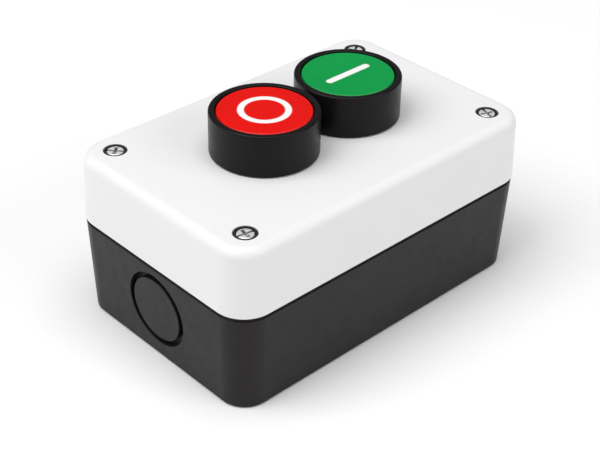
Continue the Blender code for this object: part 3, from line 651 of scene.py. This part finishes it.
def knockout_groove(end):
    """The ring groove round a knock-out, square to the drafted wall."""
    tilt = math.atan2(BASE_DRAFT, BASE_RIM)
    outer, inner = KNOCKOUT_RADIUS + KNOCKOUT_GROOVE / 2, KNOCKOUT_RADIUS - KNOCKOUT_GROOVE / 2
    profile = [(outer, TOOL_OVERRUN), (outer, -KNOCKOUT_DEPTH)]
    profile += [(inner, -KNOCKOUT_DEPTH), (inner, TOOL_OVERRUN)]
    groove = lathe(f"knockout_groove_{end}", profile)
    place = Matrix.Translation((0, end * (HALF_Y - base_inset(KNOCKOUT_HEIGHT)), KNOCKOUT_HEIGHT))
    groove.data.transform(place @ Matrix.Rotation(-end * (math.pi / 2 + tilt), 4, "X"))
    return groove


def base_moulding():
    """The base: drafted walls, a tongue and a shadow gap under the lid, and all that stands on the floor."""
    flat = 6.0 * MM  # where the floor's flat middle begins
    step = BASE_RIM - SHADOW_GAP_HEIGHT
    profile = rounded(
        [
            (flat, WALL),
            (base_inset(WALL) + WALL, WALL, 1.0 * MM),
            (TONGUE_INSET + TONGUE, BASE_RIM),
            (TONGUE_INSET + TONGUE, TONGUE_TOP, 0.2 * MM),
            (TONGUE_INSET, TONGUE_TOP, 0.2 * MM),
            (TONGUE_INSET, BASE_RIM),
            (BASE_STEP + SHADOW_GAP_DEPTH, BASE_RIM, 0.1 * MM),
            (BASE_STEP + SHADOW_GAP_DEPTH, step),
            (base_inset(step), step, 0.15 * MM),
            (base_inset(0), 0, 0.8 * MM),
            (flat, 0),
        ]
    )
    box = swept("base_moulding", HALF_X, HALF_Y, CORNER_RADIUS, profile)
    joined, cut = floor_rings()
    hole_floor = 12.0 * MM
    for number, (x, y) in enumerate(screw_places(), 1):
        joined += boss(number, x, y)
        hole_top = BASE_RIM + TOOL_OVERRUN
        cut.append(rod(f"boss_hole_{number}", (x, y), SCREW_HOLE_RADIUS, hole_floor, hole_top))
    for end in (-1, 1):
        cut.append(knockout_groove(end))
        place = (0, end * FIXING_HOLE_Y)
        cut.append(rod(f"fixing_hole_{end}", place, FIXING_HOLE_RADIUS, -TOOL_OVERRUN, 2 * WALL))
    shaped(box, joined + clips(), cut)
    piece(box, BASE_PLASTIC, "base", "base_box", edge=0.15 * MM)


def lid_moulding():
    """The lid: a rebate over the tongue, a sleeve and a recess for each screw, and a hole for each head."""
    flat = 6.4 * MM  # where the roof's flat middle begins
    rebate, cavity = 1.5 * MM, 3.1 * MM
    step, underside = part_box("lid_gasket")[1].z + GAP, BOX_TOP - WALL
    profile = rounded(
        [
            (flat, underside),
            (cavity + LID_DRAFT, underside, 1.0 * MM),
            (cavity, step, 0.15 * MM),
            (rebate, step, 0.15 * MM),
            (rebate, LID_BOTTOM, 0.15 * MM),
            (0, LID_BOTTOM, 0.3 * MM),
            (LID_DRAFT, BOX_TOP, LID_EDGE_RADIUS),
            (flat, BOX_TOP),
        ],
        steps=9,
    )
    cover = swept("lid_moulding", HALF_X, HALF_Y, CORNER_RADIUS, profile)
    joined, cut = [], []
    sleeve_low, sleeve_high = LID_BOTTOM + 2 * GAP, BOX_TOP - TOOL_OVERRUN
    floor, above = BOX_TOP - SCREW_RECESS_DEPTH, BOX_TOP + TOOL_OVERRUN
    for number, place in enumerate(screw_places(), 1):
        joined.append(rod(f"sleeve_{number}", place, BOSS_RADIUS, sleeve_low, sleeve_high))
        cut.append(rod(f"recess_{number}", place, SCREW_RECESS_RADIUS, floor, above))
        cut.append(rod(f"sleeve_hole_{number}", place, SCREW_HOLE_RADIUS, LID_BOTTOM, BOX_TOP))
    for name in HEADS:
        place, radius = head_centre(name), BARREL_RADIUS + GAP
        cut.append(rod(f"panel_hole_{name}", place, radius, LID_BOTTOM, above, ROUND_STEPS))
    shaped(cover, joined, cut)
    piece(cover, LID_PLASTIC, "lid", "lid", edge=0.15 * MM)


def lid_seal():
    """The foamed seal that lies on the base's tongue, with a rounded back."""
    low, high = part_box("lid_gasket")
    inner = TONGUE_INSET + TONGUE
    corners = [(TONGUE_INSET, low.z, 0.1 * MM), (inner, low.z, 0.1 * MM), (inner, high.z, 0.45 * MM)]
    profile = rounded([*corners, (TONGUE_INSET, high.z, 0.45 * MM)])
    seal = swept("lid_seal", HALF_X, HALF_Y, CORNER_RADIUS, profile, ring=True)
    piece(seal, SEAL_RUBBER, "lid", "lid_gasket")


def machine_screw(name, node, head_height, shank, pitch, threaded, turn):
    """A machined screw with a rolled thread, and a slot crossed by a deeper recess in its head."""
    low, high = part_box(node)
    centre = ((low + high) / 2).xy
    head, seat = (high.x - low.x) / 2, high.z - head_height
    start, end = low.z + pitch, low.z + threaded
    depth, point = 0.4 * pitch, 0.6 * shank
    profile = [(0, high.z), (head, high.z, 0.4 * MM), (head, seat, 0.12 * MM), (shank, seat), (shank, end)]
    profile = rounded(profile) + thread_points(shank, pitch, start, end)[1:]
    profile += [(point, low.z), (0, low.z)]
    rolled = thread(shank, pitch, depth, start, end)
    screw = lathe(name, profile, steps=SMALL_ROUND_STEPS, surface=rolled)
    reach, top = head + TOOL_OVERRUN, high.z + TOOL_OVERRUN
    half_slot, slot_floor = 0.4 * MM, high.z - 0.8 * MM
    half_cross, cross_reach, cross_floor = 0.45 * MM, 0.8 * head, high.z - 1.2 * MM
    slot = block("slot", (-reach, -half_slot, slot_floor), (reach, half_slot, top))
    cross = block("cross", (-half_cross, -cross_reach, cross_floor), (half_cross, cross_reach, top))
    shaped(screw, (), (slot, cross))
    screw.data.transform(Matrix.Translation((*centre, 0)) @ Matrix.Rotation(turn, 4, "Z"))
    return screw


def lid_screw(number):
    """A captive screw, and the rubber cup washer under its head."""
    node = f"lid_screw_{number}"
    screw = machine_screw(
        f"lid_screw_turned_{number}",
        node,
        head_height=1.6 * MM,
        shank=1.75 * MM,
        pitch=0.8 * MM,
        threaded=12 * MM,
        turn=math.radians(40 * number),
    )
    piece(screw, LID_SCREW_STEEL, "lid", node, edge=0.06 * MM)
    low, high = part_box(f"lid_screw_washer_{number}")
    centre, outer = ((low + high) / 2).xy, (high.x - low.x) / 2
    floor, cup, soft = low.z + 0.7 * MM, outer - 0.5 * MM, 0.15 * MM
    corners = [(outer, high.z, soft), (outer, low.z, soft), (SCREW_HOLE_RADIUS, low.z)]
    corners += [(SCREW_HOLE_RADIUS, floor), (cup, floor, soft), (cup, high.z, soft)]
    washer = lathe(f"lid_screw_cup_{number}", rounded(corners), centre, SMALL_ROUND_STEPS)
    piece(washer, SEAL_RUBBER, "lid", f"lid_screw_washer_{number}")


# Heads


def collar(name):
    """The black collar with its cup for the cap, and the threaded barrel that passes through the lid."""
    low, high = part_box(f"{name}_bezel")
    outer = (high.x - low.x) / 2
    bottom = BOX_TOP + GAP
    cup, cup_floor = 12.8 * MM, 50.8 * MM
    groove_roof = bottom + 1.0 * MM
    gasket_inner, gasket_outer = BARREL_RADIUS + 0.6 * MM, outer - 0.9 * MM
    seat, seal = cup_floor - 2.8 * MM, PISTON_BORE + 1.0 * MM
    guide, guide_top = 4.8 * MM, low.z + 2 * MM
    pitch, depth, thread_low, thread_top = 1.5 * MM, 0.55 * MM, low.z + 0.4 * MM, BOX_TOP - 0.4 * MM
    profile = [(cup, high.z, 0.35 * MM), (outer, high.z, 0.55 * MM), (outer, bottom, 0.25 * MM)]
    profile += [(gasket_outer, bottom, 0.1 * MM), (gasket_outer, groove_roof), (gasket_inner, groove_roof)]
    profile += [(gasket_inner, bottom), (BARREL_RADIUS, bottom)]
    profile += thread_points(BARREL_RADIUS, pitch, thread_low, thread_top)
    profile += [(BARREL_RADIUS - 0.5 * MM, low.z), (guide, low.z, 0.2 * MM), (guide, guide_top)]
    profile += [(PISTON_BORE, guide_top), (PISTON_BORE, seat), (seal, seat), (seal, cup_floor)]
    profile = rounded([*profile, (cup, cup_floor)])
    rolled = thread(BARREL_RADIUS, pitch, depth, thread_low, thread_top)
    turned = lathe(f"{name}_collar", profile, head_centre(name), surface=rolled)
    piece(turned, BLACK_PLASTIC, "lid", f"{name}_bezel")


def seals(name):
    """The flat seal under a collar, and the wiper that the piston slides in."""
    centre = head_centre(name)
    low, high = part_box(f"{name}_panel_gasket")
    outer, inner = (high.x - low.x) / 2, BARREL_RADIUS + 0.9 * MM
    soft = 0.2 * MM
    corners = [(outer, high.z, soft), (outer, low.z, soft), (inner, low.z, soft), (inner, high.z, soft)]
    flat = lathe(f"{name}_flat_seal", rounded(corners), centre)
    piece(flat, SEAL_RUBBER, "lid", f"{name}_panel_gasket")
    low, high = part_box(f"{name}_lip_seal")
    wall, heel = (high.x - low.x) / 2, 0.4 * MM
    middle = low.z + (high.z - low.z) / 2
    corners = [(wall, high.z, 0.15 * MM), (wall, low.z, 0.1 * MM), (wall - heel, low.z)]
    corners += [(PISTON_BORE, middle), (PISTON_BORE, high.z, 0.15 * MM)]
    lip = lathe(f"{name}_wiper", rounded(corners), centre)
    piece(lip, SEAL_RUBBER, "lid", f"{name}_lip_seal")


def fixing_nut(name):
    """The notched ring nut that draws a head down on the lid from inside."""
    low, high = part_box(f"{name}_fixing_nut")
    outer, bore = (high.x - low.x) / 2, BARREL_RADIUS + 0.15 * MM
    corners = [(outer, high.z, 0.2 * MM), (outer, low.z, 0.6 * MM)]
    corners += [(bore, low.z, 0.4 * MM), (bore, high.z, 0.2 * MM)]
    nut = lathe(f"{name}_ring_nut", rounded(corners))
    count, half_width, depth, roof = 8, 1.5 * MM, 1.2 * MM, high.z - 1.4 * MM
    notches = []
    for number in range(count):
        near_corner = (outer - depth, -half_width, low.z - TOOL_OVERRUN)
        notch = block(f"notch_{number}", near_corner, (outer + TOOL_OVERRUN, half_width, roof))
        notch.data.transform(Matrix.Rotation(math.tau * (number + 0.5) / count, 4, "Z"))
        notches.append(notch)
    shaped(nut, (), notches)
    nut.data.transform(Matrix.Translation((*head_centre(name), 0)))
    piece(nut, BLACK_PLASTIC, "lid", f"{name}_fixing_nut")


def cap_profile(top, bottom, radius, recess):
    """Half section of a button cap, with a ring recess for its mark where recess = (inner, outer) radii."""
    roof, skirt = top - 2.6 * MM, radius - 1.5 * MM
    socket_bottom, socket_roof = bottom + 0.8 * MM, top - 2.2 * MM
    socket_inner, socket_outer = 4.5 * MM, 5.8 * MM
    profile = [(0, top)]
    if recess:
        inner, outer = recess
        floor = top - MARK_DEPTH - MARK_JOINT
        profile += [(inner, top), (inner, floor), (outer, floor), (outer, top)]
    profile += [(radius, top, 0.5 * MM), (radius, bottom, 0.15 * MM), (skirt, bottom, 0.1 * MM)]
    profile += [(skirt, roof), (socket_outer, roof), (socket_outer, socket_bottom)]
    profile += [(socket_inner, socket_bottom), (socket_inner, socket_roof), (0, socket_roof)]
    return rounded(profile)


def stop_cap():
    """The red button with its ring."""
    low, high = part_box("stop_cap")
    centre, radius = head_centre("stop"), (high.x - low.x) / 2
    recess = (MARK_INNER - MARK_JOINT, MARK_OUTER + MARK_JOINT)
    cap = lathe("stop_button_cap", cap_profile(high.z, low.z, radius, recess), centre)
    piece(cap, RED_PLASTIC, "stop_button", "stop_cap")
    floor = high.z - MARK_DEPTH
    corners = [(MARK_OUTER, high.z, MARK_EDGE), (MARK_OUTER, floor)]
    corners += [(MARK_INNER, floor), (MARK_INNER, high.z, MARK_EDGE)]
    ring = lathe("stop_ring_mark", rounded(corners), centre)
    piece(ring, MARK_PLASTIC, "stop_button", "stop_mark")


def start_cap():
    """The green button with its bar."""
    low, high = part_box("start_cap")
    centre, radius = head_centre("start"), (high.x - low.x) / 2
    bar_low, bar_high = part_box("start_mark")
    half_x, half_y = (bar_high.x - bar_low.x) / 2, (bar_high.y - bar_low.y) / 2
    cap = lathe("start_button_cap", cap_profile(high.z, low.z, radius, None), centre)
    floor = high.z - MARK_DEPTH
    grown_x, grown_y = half_x + MARK_JOINT, half_y + MARK_JOINT
    profile = [(0, floor - MARK_JOINT), (0, high.z + TOOL_OVERRUN)]
    recess = swept("recess", grown_x, grown_y, grown_x, profile, centre)
    shaped(cap, (), (recess,))
    piece(cap, GREEN_PLASTIC, "start_button", "start_cap")
    inside = half_x * 0.6
    profile = rounded([(inside, floor), (0, floor), (0, high.z, MARK_EDGE), (inside, high.z)])
    bar = swept("start_bar_mark", half_x, half_y, half_x, profile, centre)
    piece(bar, MARK_PLASTIC, "start_button", "start_mark")


def stem(name):
    """The piston and shaft under a cap, and the return spring inside them."""
    low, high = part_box(f"{name}_stem")
    centre, outer = head_centre(name), (high.x - low.x) / 2
    spring_low, spring_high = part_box(f"{name}_return_spring")
    piston_top, piston_bottom = high.z - 1.8 * MM, high.z - 11.7 * MM
    spring_roof = spring_high.z + GAP
    shaft, neck, skirt, soft = 4.4 * MM, 4.2 * MM, outer - 1.2 * MM, 0.3 * MM
    profile = [(0, high.z), (neck, high.z, soft), (neck, piston_top), (outer, piston_top, soft)]
    profile += [(outer, piston_bottom, soft), (skirt, piston_bottom, 0.2 * MM)]
    profile += [(skirt, spring_roof), (shaft, spring_roof), (shaft, low.z, 0.5 * MM), (0, low.z)]
    piston = lathe(f"{name}_piston", rounded(profile), centre)
    piece(piston, STEM_PLASTIC, f"{name}_button", f"{name}_stem")
    spring = coil(
        f"{name}_piston_spring",
        centre,
        radius=6.7 * MM,
        wire=0.4 * MM,
        bottom=spring_low.z,
        top=spring_high.z,
        turns=6,
    )
    piece(spring, SPRING_STEEL, "lid", f"{name}_return_spring")
    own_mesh(spring)


# Contact blocks


def block_outline(bottom, top, shoulder):
    """The side of a contact block, with its terminal shoulders at a height and its corners softened."""
    soft = 0.4 * MM
    right = [(BLOCK_HALF_LENGTH, bottom, soft), (BLOCK_HALF_LENGTH, shoulder, soft), (TOWER_HALF, shoulder)]
    right.append((TOWER_HALF, top, soft))
    return rounded(right + [(-x, *rest) for x, *rest in reversed(right)])


def clip_notches(y):
    """Cutters for the notches that the clips' noses hold, right across both ends of a block."""
    tools = []
    reach = BLOCK_HALF_WIDTH + TOOL_OVERRUN
    for side in SIDES.values():
        near, far = side * (BLOCK_HALF_LENGTH - NOTCH_DEPTH), side * (BLOCK_HALF_LENGTH + TOOL_OVERRUN)
        low = (min(near, far), y - reach, NOTCH_BOTTOM)
        high = (max(near, far), y + reach, NOTCH_TOP)
        tools.append(block(f"notch_{side}", low, high))
    return tools


def contact_housing(name):
    """The tray that holds a contact, with a bay for a terminal at each end."""
    low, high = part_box(f"{name}_contact_housing")
    y = head_centre(name).y
    back, face, overrun = low.y + 1.5 * MM, high.y, TOOL_OVERRUN
    lap = 0.7 * MM  # how far the body runs into the tray's back
    cavity, roof, throat = TOWER_HALF - BLOCK_WALL, high.z - BLOCK_WALL, 2.8 * MM
    tray = plate(f"{name}_block_tray", block_outline(low.z, high.z, SHOULDER_TOP), low.y, back)
    body = plate("body", block_outline(low.z, high.z, BAY_FLOOR), back - lap, face)
    cut = clip_notches(y)
    cut.append(block("cavity", (-cavity, back, low.z + BLOCK_WALL), (cavity, face + overrun, roof)))
    corner = (-throat, y - throat, roof - overrun)
    cut.append(block("throat", corner, (throat, y + throat, high.z + overrun)))
    reach, slot_top = TOWER_HALF + overrun, BAY_FLOOR + STRIP + 2 * GAP
    cut.append(block("slot", (-reach, y - STRIP_SLOT, BAY_FLOOR), (reach, y + STRIP_SLOT, slot_top)))
    bore, bore_floor = 2.0 * MM, 9.0 * MM
    frame_wall, sink_depth, sink_low, sink_high = 0.9 * MM, 0.5 * MM, low.z + 1.5 * MM, 15 * MM
    for side in SIDES.values():
        cut.append(rod(f"bore_{side}", (side * TERMINAL_X, y), bore, bore_floor, BAY_FLOOR + overrun))
        near, far = sorted((side * (TOWER_HALF + frame_wall), side * (BLOCK_HALF_LENGTH - frame_wall)))
        corner = (near, low.y - overrun, sink_low)
        cut.append(block(f"sink_{side}", corner, (far, low.y + sink_depth, sink_high)))
    shaped(tray, (body,), cut)
    piece(tray, BLOCK_PLASTIC, "base", f"{name}_contact_housing", edge=0.12 * MM)


def contact_cover(name):
    """The lid of a block's tray, held by pins that are melted over in their sinks."""
    low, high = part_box(f"{name}_contact_cover")
    cover = plate(f"{name}_block_lid", block_outline(low.z, high.z, SHOULDER_TOP), low.y, high.y)
    cut = clip_notches(head_centre(name).y)
    pins = []
    sink_radius, sink_depth, pin_foot = 1.5 * MM, 0.35 * MM, 0.5 * MM
    dome = [(0, -0.05 * MM), (0.8 * MM, -0.12 * MM), (1.1 * MM, -pin_foot), (0, -pin_foot)]
    for number, (x, z) in enumerate(COVER_PINS):
        sink = rod(f"sink_{number}", (0, 0), sink_radius, -sink_depth, TOOL_OVERRUN)
        pin = lathe(f"pin_{number}", dome)
        place = Matrix.Translation((x, high.y, z)) @ Matrix.Rotation(-math.pi / 2, 4, "X")
        sink.data.transform(place)
        pin.data.transform(place)
        cut.append(sink)
        pins.append(pin)
    shaped(cover, (), cut)
    shaped(cover, pins)
    piece(cover, COVER_PLASTIC, "base", f"{name}_contact_cover", edge=0.12 * MM)


def fixed_contact(name, label):
    """A stamped brass strip that lies over the stop block's bridge, or steps under the start block's."""
    node, side = f"{name}_fixed_contact_{label}", SIDES[label]
    low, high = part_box(node)
    near, far = sorted((abs(low.x), abs(high.x)))
    top, bottom = high.z, high.z - STRIP
    if name == "stop":
        around = [(near, bottom), (far, bottom), (far, top), (near, top)]
        pad = (low.z, bottom + PAD_ROOT)
    else:
        riser, outer, inner = 8.8 * MM, 1.0 * MM, 0.25 * MM
        front, step = riser + STRIP, low.z + STRIP
        around = [(near, low.z), (front, low.z, outer), (front, bottom, inner), (far, bottom)]
        around += [(far, top), (riser, top, outer), (riser, step, inner), (near, step)]
        pad = (step - PAD_ROOT, step + PAD_HEIGHT)
    around = [(side * x, z) for x, z in rounded(around)]
    y = head_centre(name).y
    strip = plate(f"{name}_strip_{label}", around, low.y, high.y)
    place, ends = (side * TERMINAL_X, y), (bottom - TOOL_OVERRUN, top + TOOL_OVERRUN)
    hole = rod("hole", place, TERMINAL_HOLE_RADIUS, *ends)
    shaped(strip, (rod("pad", (side * PAD_X, y), PAD_RADIUS, *pad),), (hole,))
    piece(strip, BRASS, "base", node, edge=0.1 * MM)


def contact_bridge(name):
    """The moving bar, with its pads up in the stop block and down in the start block."""
    node = f"{name}_contact_bridge"
    low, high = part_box(node)
    centre, half = head_centre(name), (high - low) / 2
    if name == "stop":
        bottom, top = low.z, low.z + STRIP
        pad = (top - PAD_ROOT, high.z)
    else:
        bottom, top = high.z - STRIP, high.z
        pad = (low.z, bottom + PAD_ROOT)
    corner = 0.7 * MM
    bar = swept(f"{name}_moving_bar", half.x, half.y, corner, [(0, bottom), (0, top)], centre, steps=6)
    shaped(bar, [rod(f"pad_{side}", (side * PAD_X, centre.y), PAD_RADIUS, *pad) for side in SIDES.values()])
    piece(bar, BRASS, f"{name}_carrier", node, edge=0.1 * MM)


def contact_plunger(name):
    """The moulded slide that carries the bridge, and the spring under it."""
    node = f"{name}_contact_plunger"
    low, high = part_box(node)
    centre, half = head_centre(name), (high - low) / 2
    spring_low, spring_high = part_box(f"{name}_contact_spring")
    foot, slide_height, lap = spring_high.z + GAP, 5.4 * MM, 0.5 * MM
    shoulder, window_bottom = foot + slide_height, foot + 2.0 * MM
    head, tail, opening, reach = 2.5 * MM, 1.6 * MM, 2.3 * MM, half.x + TOOL_OVERRUN
    slide = swept(f"{name}_slide", half.x, half.y, 0.4 * MM, [(0, foot), (0, shoulder)], centre, steps=4)
    tip = rounded([(0, shoulder - lap), (0, high.z, 0.5 * MM), (1.0 * MM, high.z)])
    joined = [
        swept("head", head, head, 0.5 * MM, tip, centre, steps=4),
        rod("tail", centre, tail, low.z, foot + lap),
    ]
    window_top = window_bottom + STRIP + 2 * GAP
    corner = (-reach, centre.y - opening, window_bottom)
    window = block("window", corner, (reach, centre.y + opening, window_top))
    shaped(slide, joined, (window,))
    look, slot = (RED_PLUNGER, "red_plunger") if name == "stop" else (GREEN_PLUNGER, "green_plunger")
    piece(slide, look, f"{name}_carrier", node, edge=0.1 * MM)
    bottom, top = spring_low.z, spring_high.z
    spring = coil(
        f"{name}_slide_spring", centre, radius=2.3 * MM, wire=0.25 * MM, bottom=bottom, top=top, turns=6
    )
    piece(spring, SPRING_STEEL, "base", f"{name}_contact_spring")
    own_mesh(spring)


def terminal(name, label):
    """A clamp plate with a grooved underside, and its screw."""
    node = f"{name}_terminal_clamp_{label}"
    low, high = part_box(node)
    centre, half = ((low + high) / 2).xy, (high - low) / 2
    corner, profile = 0.6 * MM, [(0, low.z), (0, high.z)]
    clamp = swept(f"{name}_clamp_{label}", half.x, half.y, corner, profile, centre, steps=5)
    cut = [rod("hole", centre, TERMINAL_HOLE_RADIUS, low.z - TOOL_OVERRUN, high.z + TOOL_OVERRUN)]
    groove, spacing, reach = 0.2 * MM, 1.1 * MM, half.x + TOOL_OVERRUN
    for number in (-2, -1, 1, 2):
        y = centre.y + number * spacing
        near_corner = (centre.x - reach, y - groove, low.z - TOOL_OVERRUN)
        cut.append(block(f"groove_{number}", near_corner, (centre.x + reach, y + groove, low.z + groove)))
    shaped(clamp, (), cut)
    piece(clamp, PLATED_STEEL, "base", node, edge=0.08 * MM)
    node = f"{name}_terminal_screw_{label}"
    screw = machine_screw(
        f"{name}_turned_screw_{label}",
        node,
        head_height=2.0 * MM,
        shank=1.7 * MM,
        pitch=0.7 * MM,
        threaded=8 * MM,
        turn=math.radians(90 + 25 * SIDES[label] + 15 * HEADS.index(name)),
    )
    piece(screw, PLATED_STEEL, "base", node, edge=0.06 * MM)


def contact_block(name):
    """All the parts of one contact block."""
    contact_housing(name)
    contact_cover(name)
    contact_bridge(name)
    contact_plunger(name)
    for label in SIDES:
        fixed_contact(name, label)
        terminal(name, label)


# Setting


def direction(azimuth, elevation):
    """The unit vector from the station towards an azimuth and an elevation in degrees. Azimuth 0 is -Y."""
    a, e = math.radians(azimuth), math.radians(elevation)
    return Vector((math.sin(a) * math.cos(e), -math.cos(a) * math.cos(e), math.sin(e)))


def camera():
    """Looks down on the stop end's corner through a long lens."""
    target, distance = Vector((-7.586, 5.729, 11.865)) * MM, 386.557
    away, roll = direction(46.045, 33.928), math.radians(1.257)
    data = bpy.data.cameras.new("camera")
    data.lens = 80.95
    data.clip_start = 0.01
    obj = bpy.data.objects.new("camera", data)
    obj.location = target + away * distance * MM
    facing = (-away).to_track_quat("-Z", "Y") @ Matrix.Rotation(roll, 3, "Z").to_quaternion()
    obj.rotation_euler = facing.to_euler()
    bpy.context.scene.collection.objects.link(obj)
    bpy.context.scene.camera = obj


def lamp(name, azimuth, elevation, size, power):
    """A soft box that faces the station from an azimuth and an elevation in degrees."""
    distance = 2.0
    data = bpy.data.lights.new(name, "AREA")
    data.shape = "RECTANGLE"
    data.size, data.size_y = size
    data.energy = power
    away = direction(azimuth, elevation)
    obj = bpy.data.objects.new(name, data)
    obj.location = away * distance + Vector((0, 0, BOX_TOP / 2))
    obj.rotation_euler = (-away).to_track_quat("-Z", "Y").to_euler()
    bpy.context.scene.collection.objects.link(obj)


def floor():
    """A wide sheet of pale matt paper."""
    look = Finish("paper", Roughness=0.9, Specular_IOR_Level=0.1)
    fibres = look.noise(0.8 * MM, 4.0)
    look.colour(look.mix(look.ramp(fibres, 0.3, 0.7), (0.92, 0.92, 0.92, 1), (0.95, 0.95, 0.95, 1)))
    half_size, corner, thickness, gap = 2.0, 0.3, 2 * MM, 0.02 * MM
    sheet = swept("paper_floor", half_size, half_size, corner, [(0, -thickness), (0, -gap)])
    sheet.data.materials.append(look.material)


def world():
    """A dim, even surround, and the plain view transform."""
    made = bpy.data.worlds.new("studio")
    made.use_nodes = True
    background = made.node_tree.nodes["Background"]
    background.inputs["Color"].default_value = (1.0, 1.0, 1.0, 1.0)
    background.inputs["Strength"].default_value = 0.2
    bpy.context.scene.world = made
    bpy.context.scene.view_settings.view_transform = "Standard"


base_moulding()
lid_moulding()
lid_seal()
for screw_number in range(1, 5):
    lid_screw(screw_number)
for head_name in HEADS:
    collar(head_name)
    seals(head_name)
    fixing_nut(head_name)
    stem(head_name)
    contact_block(head_name)
stop_cap()
start_cap()

camera()
lamp("side", azimuth=-50, elevation=11, size=(1.6, 0.6), power=4.2)
lamp("key", azimuth=-20, elevation=52, size=(1.4, 1.4), power=20.5)
lamp("top", azimuth=46, elevation=86, size=(1.6, 1.6), power=21.5)
lamp("fill", azimuth=110, elevation=28, size=(1.4, 1.0), power=11.5)
floor()
world()
